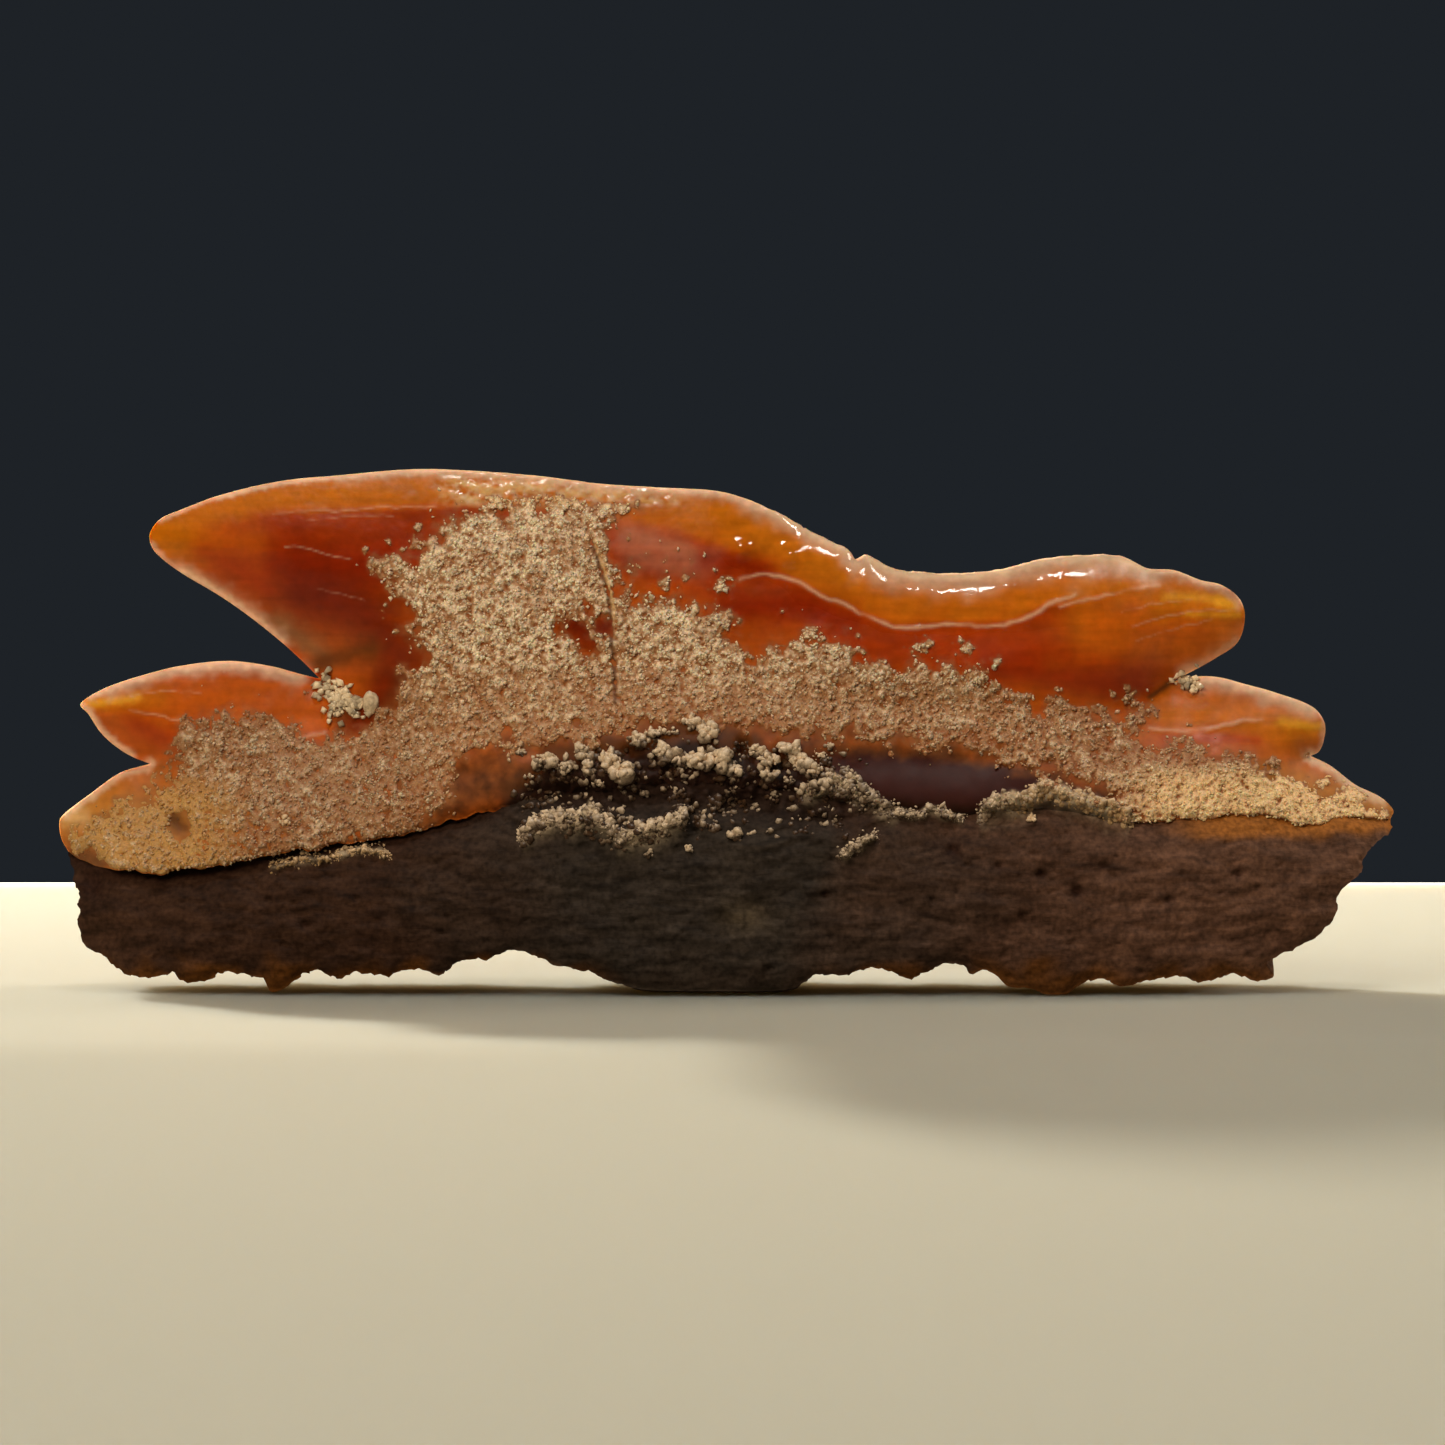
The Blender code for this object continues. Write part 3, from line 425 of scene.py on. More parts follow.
def fall(values, end, reach):
    """1, then smoothly down over the reach to 0 at the end."""
    return smoothstep((end - values) / reach)


def between(values, low, high, fade_in, fade_out=None):
    """1 between low and high, fading to 0 at both."""
    return rise(values, low, fade_in) * fall(values, high, fade_out or fade_in)


def near(distance, reach):
    """1 at no distance, smoothly down to 0 at the reach."""
    return smoothstep(1 - distance / reach)


def bell(distance, width):
    """1 at no distance, fading away at about twice the width."""
    return np.exp(-((distance / width) ** 2))


def line_height(line, x):
    """The height at each x of a line that runs from left to right."""
    return np.interp(x, *np.array(line).T)


def blend(under, over, share):
    """Colours of one array laid over another's, by a share for each row."""
    share = np.asarray(share)[:, None]
    return np.asarray(under) * (1 - share) + np.asarray(over) * share


def layered(colour, *layers):
    """A colour with others laid over it in turn, each by its share at every point."""
    for over, share in layers:
        colour = blend(colour, over, share)
    return colour


def at_depth(points, y):
    """Front-view points as points in space."""
    return np.column_stack([points[:, 0], y, points[:, 1]])


def in_chunks(measure, points, size=4000):
    return np.concatenate([measure(points[i : i + size]) for i in range(0, len(points), size)])


def nearest_distance(points, line):
    """Distance from each point to the nearest stretch of a line."""
    starts, steps = line[:-1], np.diff(line, axis=0)
    lengths = (steps**2).sum(axis=1)

    def measure(some):
        offsets = some[:, None] - starts[None]
        along = np.clip((offsets * steps).sum(axis=2) / lengths, 0, 1)
        return np.linalg.norm(offsets - along[..., None] * steps, axis=2).min(axis=1)

    return in_chunks(measure, points)


def soft_distance(points, line):
    """Distance to a line, rounded off where two stretches of it are equally near."""
    pieces = np.linalg.norm(np.diff(line, axis=0), axis=1)
    middles = (line[1:] + line[:-1]) / 2
    least = pieces.min() ** 2 / 4

    def measure(some):
        squared = ((some[:, None] - middles[None]) ** 2).sum(axis=2) + least
        return ((pieces / squared**2).sum(axis=1) * 2 / math.pi) ** (-1 / 3)

    return in_chunks(measure, points)


def inside(points, loop):
    """Which points lie inside a closed loop."""
    crossings = np.zeros(len(points), int)
    for (x0, z0), (x1, z1) in zip(loop, np.roll(loop, -1, axis=0)):
        spans = (points[:, 1] < z0) != (points[:, 1] < z1)
        climb = z1 - z0 if z1 != z0 else 1.0
        crossings += spans & (points[:, 0] < x0 + (points[:, 1] - z0) * (x1 - x0) / climb)
    return crossings % 2 == 1


class SignedField:
    """Distance to a line, positive on its inner side, kept on a fine grid and read off between."""

    STEP = 0.03
    LOW = np.array([-7.0, -0.3])
    SHAPE = (468, 200)

    def __init__(self, line, closing, distance):
        x, z = (self.LOW[k] + self.STEP * np.arange(self.SHAPE[k]) for k in range(2))
        grid = np.stack(np.meshgrid(x, z, indexing="ij"), axis=-1).reshape(-1, 2)
        loop = np.concatenate([line, np.array(closing, float).reshape(-1, 2)])
        values = distance(grid, line) * np.where(inside(grid, loop), 1, -1)
        self.values = values.reshape(self.SHAPE)

    def __call__(self, points):
        place = (points - self.LOW) / self.STEP
        cell = np.clip(np.floor(place).astype(int), 0, np.array(self.SHAPE) - 2)
        u, v = np.clip(place - cell, 0, 1).T
        i, j = cell.T
        low = self.values[i, j] * (1 - u) + self.values[i + 1, j] * u
        high = self.values[i, j + 1] * (1 - u) + self.values[i + 1, j + 1] * u
        return low * (1 - v) + high * v


# Large numbers that mix a corner of the noise's grid and a seed into even-handed random bits.
MIX_AXES = (374761393, 668265263, 2246822519)
MIX_SEED = 3266489917
MIX_LAST = 1274126177
BITS_32 = 0xFFFFFFFF
# How the noise is turned and weakened from octave to octave, moved off zero, scaled and limited.
OCTAVE_TURN = 1.3
OCTAVE_WEIGHT = 0.55
NOISE_SHIFT = 517.3
NOISE_GAIN = 2.2
NOISE_LIMIT = 1.4


def corner_slopes(corners, seed):
    """A random slope for each corner of the noise's grid."""
    axes = corners.shape[1]
    mixed = (corners * MIX_AXES[:axes]).sum(axis=1) + seed * MIX_SEED
    mixed = ((mixed & BITS_32) ^ ((mixed & BITS_32) >> 13)) * MIX_LAST & BITS_32
    mixed ^= mixed >> 15
    return np.stack([(mixed >> (9 * k) & 255) / 127.5 - 1 for k in range(axes)], axis=1)


def noise(points, size, seed=0, octaves=1):
    """Smooth noise from about -1 to 1; size is one number or one for each axis."""
    points = np.asarray(points, float)
    total, weight, reach = np.zeros(len(points)), 1.0, 0.0
    for octave in range(octaves):
        place = points / size * 2**octave
        angle = 0.7 + OCTAVE_TURN * octave + seed
        first, last = place[:, 0].copy(), place[:, -1].copy()
        place[:, 0] = first * math.cos(angle) - last * math.sin(angle)
        place[:, -1] = first * math.sin(angle) + last * math.cos(angle)
        place += NOISE_SHIFT
        cell = np.floor(place).astype(np.int64)
        local = place - cell
        fade = local**3 * (local * (local * 6 - 15) + 10)
        value = np.zeros(len(points))
        for corner in np.ndindex((2,) * points.shape[1]):
            height = ((local - corner) * corner_slopes(cell + corner, seed + octave)).sum(axis=1)
            value += height * np.prod(np.where(corner, fade, 1 - fade), axis=1)
        total += weight * value
        reach += weight**2
        weight *= OCTAVE_WEIGHT
    return np.clip(total / math.sqrt(reach) * NOISE_GAIN, -NOISE_LIMIT, NOISE_LIMIT)


def bumps(points, marks):
    """The sum of soft round bumps: x, z, reach along x, reach along z, height."""
    total = np.zeros(len(points))
    for x, z, along, up, height in marks:
        away = ((points[:, 0] - x) / along) ** 2 + ((points[:, 1] - z) / up) ** 2
        total += height * np.exp(-away)
    return total


def round_bumps(marks):
    """Round marks, x, z, radius and height, in the form that bumps takes."""
    return [(x, z, radius, radius, height) for x, z, radius, height in marks]


def ledges(points):
    """How high the hard ledges along the junction stand, and how pale they are."""
    height, pale = np.zeros(len(points)), np.zeros(len(points))
    warp = np.column_stack([noise(points, 0.20, 55, octaves=2), noise(points, 0.12, 56, octaves=3)])
    x, z = (points + warp * (0.04, 0.03)).T
    for paleness, drop, _, path in LEDGES:
        line = smooth_curve(path, 0.02)
        below = line_height(line, x) - z
        step = between(x, line[0, 0], line[-1, 0], 0.08) * rise(below, -0.01, 0.035)
        below = np.maximum(below, 0)
        height = np.maximum(height, step * bell(below, drop))
        pale = np.maximum(pale, step * paleness * bell(below, drop * 0.85))
    rough = 1 + 0.45 * noise(points, 0.09, 57, octaves=3)
    patchy = 1.5 + 0.7 * noise(points, 0.07, 58, octaves=2)
    return LEDGE_HEIGHT * height * rough, np.clip(pale * patchy, 0, 1)


def worn(line):
    """The crown's outline with small chips and bumps along the worn top of the blade."""
    x, z = line.T
    share = between(x, -3.2, 4.4, 1.0, 0.6) * rise(z, 3.6, 0.3)
    chips = 0.010 * noise(line, 0.16, 95, octaves=3) - 0.035 * np.maximum(noise(line, 0.10, 96) - 0.55, 0)
    steady = 0.3 + 0.7 * rise(x, 0.2, 0.4)
    return line + np.column_stack([np.zeros(len(line)), share * steady * chips])


CROWN_LINE = worn(np.concatenate([smooth_curve(run, OUTLINE_STEP)[:-1] for run in CROWN_RUNS]
                                 + [np.array([CROWN_RUNS[-1][-1]])]))
ROOT_LINE = smooth_curve(ROOT_RUN, OUTLINE_STEP)
CRUST_LINE = smooth_curve(CRUST_EDGE + CRUST_EDGE[:1], 0.05)
CROWN_INSET = SignedField(CROWN_LINE, [(6.64, -1), (-6.59, -1)], soft_distance)
ROOT_INSET = SignedField(ROOT_LINE, [(-6.59, 7), (6.64, 7)], soft_distance)
CRUST_INSET = SignedField(CRUST_LINE, [], nearest_distance)


class Side:
    """The crown's and the root's depth from the mid-plane on the front or the back."""

    def __init__(self, crown, root, lip, flare, overhang, seed):
        self.crown = crown
        self.root = root
        self.flare = flare
        self.overhang = overhang
        self.even_lip = smooth_curve(lip, OUTLINE_STEP)
        self.lip = self.even_lip.copy()
        fade = fall(np.abs(self.lip[:, 0]), 6.3, 0.4)
        self.lip[:, 1] += LIP_RAGGED * fade * noise(self.lip, 0.20, seed, octaves=3)
        self.lip_depth = self.crown_depth(self.even_lip)

    def lip_height(self, points):
        return line_height(self.lip, points[:, 0])

    def above_lip(self, points):
        return points[:, 1] - self.lip_height(points)

    def crown_depth(self, points):
        """The crown swells from its cutting edge and flares out to a rounded lip above the root."""
        x, z = points.T
        edge = np.maximum(CROWN_INSET(points), 0)
        swell = self.crown * (1 - np.exp(-edge / CROWN_REACH))
        blade = between(x, 0.2, 4.6, 0.8) * BLADE_SWELL * (1 - np.exp(-edge / BLADE_REACH))
        above_lip = z - line_height(self.even_lip, x)
        flare = self.flare * near(above_lip, FLARE_HEIGHT) * (1 - np.exp(-edge / FLARE_REACH))
        return swell + blade * rise(z, 2.8, 0.5) + flare

    def lip_roll(self, points):
        """How far the crown's skirt curls in at its very edge."""
        above_lip = np.maximum(self.above_lip(points), 0)
        return LIP_ROLL * np.exp(-above_lip / LIP_ROLL_HEIGHT) * smoothstep(CROWN_INSET(points) / 0.3)

    def root_depth(self, points):
        """The root is a lens in plan that draws in under the crown's lip and at its own rim."""
        x, z = points.T
        along = np.clip(np.abs(x) / ROOT_HALF_LENGTH, 0, 1)
        full = self.root * np.sqrt(1 - along**3)
        lip_depth = np.interp(x, self.even_lip[:, 0], self.lip_depth)
        under_lip = np.maximum(lip_depth - np.interp(x, *self.overhang), THINNEST_ROOT)
        below = line_height(self.even_lip, x) - z
        face = full + (under_lip - full) * np.exp(-np.maximum(below, 0) / RECESS_REACH)
        face -= 1.5 * np.maximum(-below, 0)
        rim = np.maximum(ROOT_INSET(points), 0)
        return face * (1 - (1 - RIM_SHARE) * np.exp(-rim / RIM_REACH))


# How far the crown's lip stands out over the root: the places along x, and the overhang at each.
FRONT_OVERHANG = ([-6.4, -5.8, -5.0, -4.2, -2.6, -1.8, 1.8, 2.6, 4.0],
                  [0.1, 0.24, 0.26, 0.18, 0.14, 0.02, 0.02, 0.08, 0.04])
BACK_OVERHANG = ([-6.4, 6.4], [0.05, 0.05])
FRONT = Side(CROWN_FRONT, ROOT_FRONT, FRONT_LIP, LIP_FLARE, FRONT_OVERHANG, seed=3)
BACK = Side(CROWN_BACK, ROOT_BACK, BACK_LIP, LIP_FLARE * 0.8, BACK_OVERHANG, seed=5)


def hairline(points, shift, width):
    """How close each point is to the hairline crack, moved sideways by the shift: 1 on it."""
    return bell(nearest_distance(points, smooth_curve(HAIRLINE, 0.1) + (shift, 0)), width)


def crust_body(points):
    """0 on the bare crown, 1 well inside the sediment crust, with a ragged edge between."""
    signed = CRUST_INSET(points)
    for x, z, radius in CRUST_HOLES:
        signed = np.minimum(signed, np.hypot(points[:, 0] - x, points[:, 1] - z) - radius)
    ragged = 0.17 * noise(points, 0.24, 11, octaves=5) + 0.05
    body = smoothstep((signed + ragged) / 0.26)
    uneven = 1 + 0.6 * noise(points, 0.07, 13, octaves=2)
    for x, z, radius in CRUST_ISLANDS:
        away = np.hypot(points[:, 0] - x, points[:, 1] - z) / radius * uneven
        body = np.maximum(body, np.exp(-(away**4)))
    return np.maximum(body, 0.95 * hairline(points, 0, 0.030) * rise(points[:, 1], 3.3, 0.4))


def crust_height(points):
    """The lacy crust's height over the enamel; below zero there is none."""
    body = crust_body(points)
    sparse = bumps(points, SPARSE_CRUST)
    clumps = noise(points, 0.11, 12, octaves=4)
    speckle = noise(points, 0.045, 15, octaves=2)
    height = CRUST_THICKNESS * (1.80 * body - 1.12 - sparse + 0.55 * clumps + 0.45 * speckle)
    height -= HAIRLINE_DEPTH * hairline(points, HAIRLINE_GROOVE, 0.018)
    pits = bumps(points + 0.03 * noise(points, 0.08, 19)[:, None], round_bumps(CRUST_PITS))
    return np.maximum(height - 0.6 * pits, CRUST_SUNK)


def line_profile(points):
    """How strongly the fine pale lines show at each point."""
    total = np.zeros(len(points))
    wobble = np.column_stack([noise(points, 0.18, 61, octaves=2), noise(points, 0.18, 62, octaves=2)])
    points = points + 0.014 * wobble
    for width, strength, path in RIDGE_LINES:
        away = nearest_distance(points, smooth_curve(path, 0.08))
        total = np.maximum(total, strength * bell(away, width))
    return total * smoothstep(0.9 + 0.8 * noise(points, 0.35, 65, octaves=2))


def wrinkled(points):
    """The strip of wrinkled, golden enamel along the crown's top edge, over the crust."""
    x, z = points.T
    return between(x, -3.0, -0.3, 0.4) * rise(z, 4.80, 0.12)


def crown_front(points, fine=True):
    """The depth of the crown's front, with its fine pale lines or without them."""
    x, z = points.T
    calm = smoothstep(CROWN_INSET(points) / 0.25)
    depth = FRONT.crown_depth(points) - FRONT.lip_roll(points)
    depth += calm * (0.012 * noise(points, (0.9, 0.30), 21) + 0.003 * noise(points, 0.15, 22))
    depth += 0.0022 * noise(points, 0.06, 23, octaves=2) * rise(z, 3.4, 0.4)
    near_edge = smoothstep(CROWN_INSET(points) / 0.06)
    depth += 0.016 * noise(points, (0.12, 0.07), 27, octaves=3) * wrinkled(points) * near_edge
    depth += bumps(points, BLADE_BUMPS)
    depth -= bumps(points, BASE_HOLLOW) + bumps(points, CAVITIES)
    depth -= bumps(points, round_bumps(CRUST_PITS)) * 0.8
    rocky = near(FRONT.above_lip(points), 0.45) * fall(np.abs(x + 0.3), 1.9, 0.4)
    depth += calm * rocky * 0.07 * noise(points, 0.16, 24, octaves=4)
    depth += ledges(points)[0] * calm
    if fine:
        depth += RIDGE_HEIGHT * line_profile(points) * calm
    return depth


def crown_back(points):
    calm = smoothstep(CROWN_INSET(points) / 0.25)
    depth = BACK.crown_depth(points) - BACK.lip_roll(points)
    return depth + calm * (0.014 * noise(points, (0.9, 0.3), 25) + 0.006 * noise(points, 0.2, 26))


def fibres(points, seed):
    """The long grain of the root, as a height."""
    drift = np.column_stack([noise(points, 0.7, seed + 1), noise(points, 0.5, seed + 2, octaves=2)])
    warped = points + drift * (0.10, 0.07)
    coarse = noise(warped, (1.3, 0.20), seed + 3, octaves=2)
    fine = noise(warped, (0.55, 0.050), seed + 4, octaves=3)
    lumps = noise(points, (0.55, 0.38), seed + 5, octaves=3)
    crumble = noise(points, 0.08, seed + 6, octaves=2)
    pores = np.maximum(noise(points, (0.13, 0.08), seed + 7) - 0.60, 0)
    return 0.022 * coarse + 0.009 * fine + 0.040 * lumps + 0.006 * crumble - 0.07 * pores


def root_front(points):
    depth = FRONT.root_depth(points) + fibres(points, 40)
    rocky = near(-FRONT.above_lip(points), 0.6) * fall(np.abs(points[:, 0] + 0.3), 2.2, 0.5)
    depth += rocky * 0.07 * noise(points, 0.17, 48, octaves=4) + ledges(points)[0]
    return depth - bumps(points, CAVITIES) - bumps(points, round_bumps(ROOT_PITS))


def root_back(points):
    return BACK.root_depth(points) + fibres(points, 60)


def lattice(spacing):
    """Points in a triangular pattern over the front view, and which a pattern twice as coarse keeps."""
    low, high = (-6.9, -0.1), (6.9, 5.4)
    rows = np.arange(low[1], high[1], spacing * math.sqrt(3) / 2)
    columns = np.arange(low[0], high[0], spacing)
    x, z = np.meshgrid(columns, rows)
    x = x + (np.arange(len(rows)) % 2)[:, None] * spacing / 2
    coarse = (np.arange(len(rows)) % 2 == 0)[:, None] & (np.arange(len(columns)) % 2 == 0)[None]
    return np.column_stack([x.ravel(), z.ravel()]), coarse.ravel()


def triangulate(loop, spread):
    """Triangles over a closed loop and the points spread in it: (points, faces), the loop's first."""
    points = list(np.concatenate([loop, spread]))
    edges = [(i, (i + 1) % len(loop)) for i in range(len(loop))]
    keep_inside = 1
    while True:
        corners = [Vector(point) for point in points]
        made, made_edges, faces, sources = delaunay_2d_cdt(corners, edges, [], keep_inside, WELD)[:4]
        order = {same[0]: new for new, same in enumerate(sources) if same}
        rank = [order[i] for i in range(len(loop))]
        place = {old: new for new, old in enumerate(rank)}
        on_loop = [(a, b) for a, b in made_edges if a in place and b in place]
        across = [e for e in on_loop if abs(place[e[0]] - place[e[1]]) not in (1, len(loop) - 1)]
        if not across:
            break
        points += [(np.array(made[a]) + np.array(made[b])) / 2 for a, b in across]
    taken = set(rank)
    rest = [old for old in range(len(made)) if old not in taken]
    place.update({old: len(loop) + new for new, old in enumerate(rest)})
    whole = np.array([made[old][:] for old in rank + rest])
    return whole, np.array([[place[i] for i in face] for face in faces])


def straight_across(front, back, share):
    return front * (1 - share) + back * share


def closed_solid(loops, welded, depths, spreads, rows, wall):
    """Vertices and triangles of a solid with a front and a back sheet. Where the loops' points are
    welded the sheets meet; elsewhere a wall of rows joins them, shaped by wall(front, back, share)."""
    count = len(loops[0])
    sheets = []
    for loop, depth, spread, way in zip(loops, depths, spreads, (-1, 1)):
        points, sheet_faces = triangulate(loop, spread)
        y = way * depth(points)
        y[:count][welded] = 0
        sheets.append((at_depth(points, y), sheet_faces))
    (front, front_faces), (back, back_faces) = sheets
    shares = np.linspace(0, 1, rows + 1)
    inner = [wall(front[:count], back[:count], share) for share in shares[1:-1]]
    verts = np.concatenate([front, back] + inner)
    back_start = len(front)
    inner_start = back_start + len(back)
    columns = np.empty((rows + 1, count), int)
    columns[0] = np.arange(count)
    columns[-1] = back_start + np.arange(count)
    for row in range(1, rows):
        columns[row] = inner_start + (row - 1) * count + np.arange(count)
    columns[:, welded] = columns[0, welded]
    here, there = columns, np.roll(columns, -1, axis=1)
    first = np.stack([here[:-1], here[1:], there[1:]], axis=-1).reshape(-1, 3)
    second = np.stack([here[:-1], there[1:], there[:-1]], axis=-1).reshape(-1, 3)
    faces = np.concatenate([front_faces, back_faces[:, ::-1] + back_start, first, second])
    faces = np.where(np.isin(faces, back_start + np.flatnonzero(welded)), faces - back_start, faces)
    faces = faces[(faces != np.roll(faces, 1, axis=1)).all(axis=1)]
    used, renumbered = np.unique(faces, return_inverse=True)
    return verts[used], renumbered.reshape(-1, 3)


def mesh_piece(name, verts, faces, tint, material, smooth=True):
    """A mesh object from arrays in millimetres, with a colour for each vertex, and its roughness
    as the colour's fourth number where the piece has one."""
    data = bpy.data.meshes.new(name)
    data.vertices.add(len(verts))
    data.vertices.foreach_set("co", (verts * MM).astype(np.float32).ravel())
    data.loops.add(faces.size)
    data.loops.foreach_set("vertex_index", faces.astype(np.int32).ravel())
    data.polygons.add(len(faces))
    data.polygons.foreach_set("loop_start", np.arange(0, faces.size, 3, dtype=np.int32))
    data.update(calc_edges=True)
    data.validate()
    colour = data.attributes.new("tint", "FLOAT_COLOR", "POINT")
    if tint.shape[1] == 3:
        tint = np.column_stack([tint, np.ones(len(tint))])
    colour.data.foreach_set("color", np.clip(tint, 0, 1).astype(np.float32).ravel())
    if smooth:
        data.shade_smooth()
    data.materials.append(material)
    piece = bpy.data.objects.new(name, data)
    bpy.context.scene.collection.objects.link(piece)
    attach(piece, "root")
    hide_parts("tooth")
    return piece


def outward(verts, faces):
    """The faces, turned round if they look into the solid."""
    a, b, c = (verts[faces[:, k]] for k in range(3))
    return faces if (np.cross(a, b) * c).sum() > 0 else faces[:, ::-1]


def resample(line, count):
    """The line as evenly spaced points."""
    lengths = np.concatenate([[0], np.cumsum(np.linalg.norm(np.diff(line, axis=0), axis=1))])
    at = np.linspace(0, lengths[-1], count)
    return np.column_stack([np.interp(at, lengths, line[:, k]) for k in range(2)])


def lay_stroke(colour, points, name, width, strength, path, sharpness=2):
    """Lays a soft stroke of colour over the colours of the points."""
    line = smooth_curve(path, 0.1) if len(path) > 2 else np.array(path, float)
    away = nearest_distance(points, line) / width
    away = away * (1 + 0.30 * noise(points, width * 1.5, 81, octaves=2))
    return blend(colour, COLOURS[name], strength * np.exp(-(away**sharpness)))


LEDGE_COLOUR = (0.52, 0.385, 0.240)


def stained_and_shaded(front, points):
    """Brown stain below the ragged edge, purple stain to the right, painted black shade to the left and at
    the lip.
    """
    x, z = (points + 0.05 * noise(points, 0.22, 35, octaves=3)[:, None]).T
    below = line_height(DARK_BASE_EDGE, x) - z
    within = between(x, -2.4, 4.2, 0.3)
    right = rise(x, 0.7, 0.5)
    lip_shade = bell(np.maximum(FRONT.above_lip(points), 0), 0.12)
    return layered(
        front,
        (COLOURS["brown"], 0.9 * within * rise(below, -0.08, 0.16)),
        (COLOURS["purple"], within * rise(below, 0.03, 0.10) * right),
        (COLOURS["shadow"], within * rise(below, 0.10, 0.16) * (1 - right)),
        # Painted shade just above the lip.
        (COLOURS["shadow"], within * rise(below, 0, 0.1) * lip_shade),
    )


BACK_SHADE = 0.62


def crown_streaks(points):
    """The light and dark streaks of the enamel, and the blotches on its base."""
    x, z = points.T
    streaks = 0.13 * noise(points, (0.9, 0.09), 33, octaves=3) + 0.08 * noise(points, 0.25, 34, octaves=2)
    base = fall(z, 2.8, 0.5) * between(x, -3.9, 4.3, 0.6, 0.5)
    return ((1 + streaks) * (1 + 0.5 * base * noise(points, 0.14, 39, octaves=4)))[:, None]


def crown_front_tint(points):
    x, z = points.T
    below_band = line_height(BAND_LINE, x) - z
    deep = rise(below_band, 0, 0.06) * np.exp(-np.maximum(below_band, 0) / 0.55)
    deep *= between(x, -5.5, 4.7, 0.9, 1.2) * rise(z, 2.7, 0.5)
    front = blend(COLOURS["base_orange"], COLOURS["red"], 0.75 * deep)
    front = blend(front, COLOURS["bright_orange"], 0.70 * fall(below_band, 0, 0.06))
    for stroke in CROWN_STROKES:
        front = lay_stroke(front, points, *stroke)
    golden = smoothstep(0.55 + 0.9 * noise(points, (0.20, 0.10), 29, octaves=3))
    flecks_and_sparkle = smoothstep(0.3 + 1.2 * noise(points, (0.10, 0.06), 30, octaves=2))
    dusty = smoothstep(crust_body(points) * 1.2) * (0.75 + 0.25 * noise(points, 0.1, 31))
    front = layered(
        front,
        (COLOURS["gold"], 0.85 * wrinkled(points) * golden),
        # Cream flecks on the wrinkled strip: partly pale enamel, partly painted sparkle.
        (COLOURS["cream"], 0.6 * wrinkled(points) * flecks_and_sparkle),
        (COLOURS["rose_brown"], 0.65 * np.clip(dusty, 0, 1)),
    )
    # Painted rim light along the crown's edges.
    for name, width, strength, run, first, last in CROWN_RIM_LIGHT:
        rim = CROWN_RUNS[run][first : last + 1]
        front = lay_stroke(front, points, name, width, strength, rim, sharpness=3)
    front = blend(front * crown_streaks(points), COLOURS["pink"], line_profile(points) * 0.85)
    return blend(stained_and_shaded(front, points), LEDGE_COLOUR, ledges(points)[1])


def crown_back_tint(points, edge):
    back = blend(COLOURS["base_orange"], COLOURS["red"], rise(edge, 0.05, 1.2))
    back = blend(back, COLOURS["brown"], 0.7 * near(BACK.above_lip(points), 0.5))
    # The mauve along the back's edges is painted rim light.
    return blend(BACK_SHADE * back * crown_streaks(points), COLOURS["mauve"], 0.6 * bell(edge, 0.07))


def crown_tint(verts):
    """The colour of each point of the crown, and its roughness as the fourth number."""
    points = verts[:, [0, 2]]
    edge = np.maximum(CROWN_INSET(points), 0)
    on_front = (verts[:, 1] <= 0)[:, None]
    colour = np.where(on_front, crown_front_tint(points), crown_back_tint(points, edge))
    return np.column_stack([colour, crown_roughness(points, edge)])


def crown_roughness(points, edge):
    """Polished along the worn blade, duller elsewhere and dull where dusty or low near the lip."""
    x, z = points.T
    polish = between(x, -0.3, 3.9, 0.4, 0.5) * fall(edge, 0.75, 0.3) * rise(z, 3.3, 0.4)
    low = near(FRONT.above_lip(points), 0.8)
    rough = 0.36 - 0.29 * polish + 0.40 * np.maximum(crust_body(points), low)
    return rough - 0.22 * wrinkled(points) + 0.05 * noise(points, 0.3, 36, octaves=2)


def spread_over_crown(side, spacing, coarse_under_crust=False):
    spread, coarse = lattice(spacing)
    keep = CROWN_INSET(spread) > spacing * CLEARANCE
    keep &= spread[:, 1] > side.lip_height(spread) + spacing * CLEARANCE
    if coarse_under_crust:
        keep &= coarse | (crust_body(spread) < 0.85)
    return spread[keep]


def make_crown(material):
    lips = [resample(side.lip, CROWN_LIP_POINTS)[1:-1][::-1] for side in (FRONT, BACK)]
    loops = [np.concatenate([CROWN_LINE, lip]) for lip in lips]
    welded = np.arange(len(loops[0])) < len(CROWN_LINE)
    spreads = (spread_over_crown(FRONT, CROWN_FRONT_GRID, True), spread_over_crown(BACK, CROWN_BACK_GRID))
    depths = (crown_front, crown_back)
    verts, faces = closed_solid(loops, welded, depths, spreads, CROWN_WALL_ROWS, straight_across)
    return mesh_piece("crown", verts, outward(verts, faces), crown_tint(verts), material)


CRUST_LOW = (0.31, 0.100, 0.026)
CRUST_MID = (0.45, 0.235, 0.105)
CRUST_RUSTY = (0.38, 0.150, 0.050)
CRUST_HIGH = (0.92, 0.700, 0.470)
CRUST_OCHRE = (0.62, 0.330, 0.090)
CRUST_GOLD = (0.98, 0.660, 0.330)


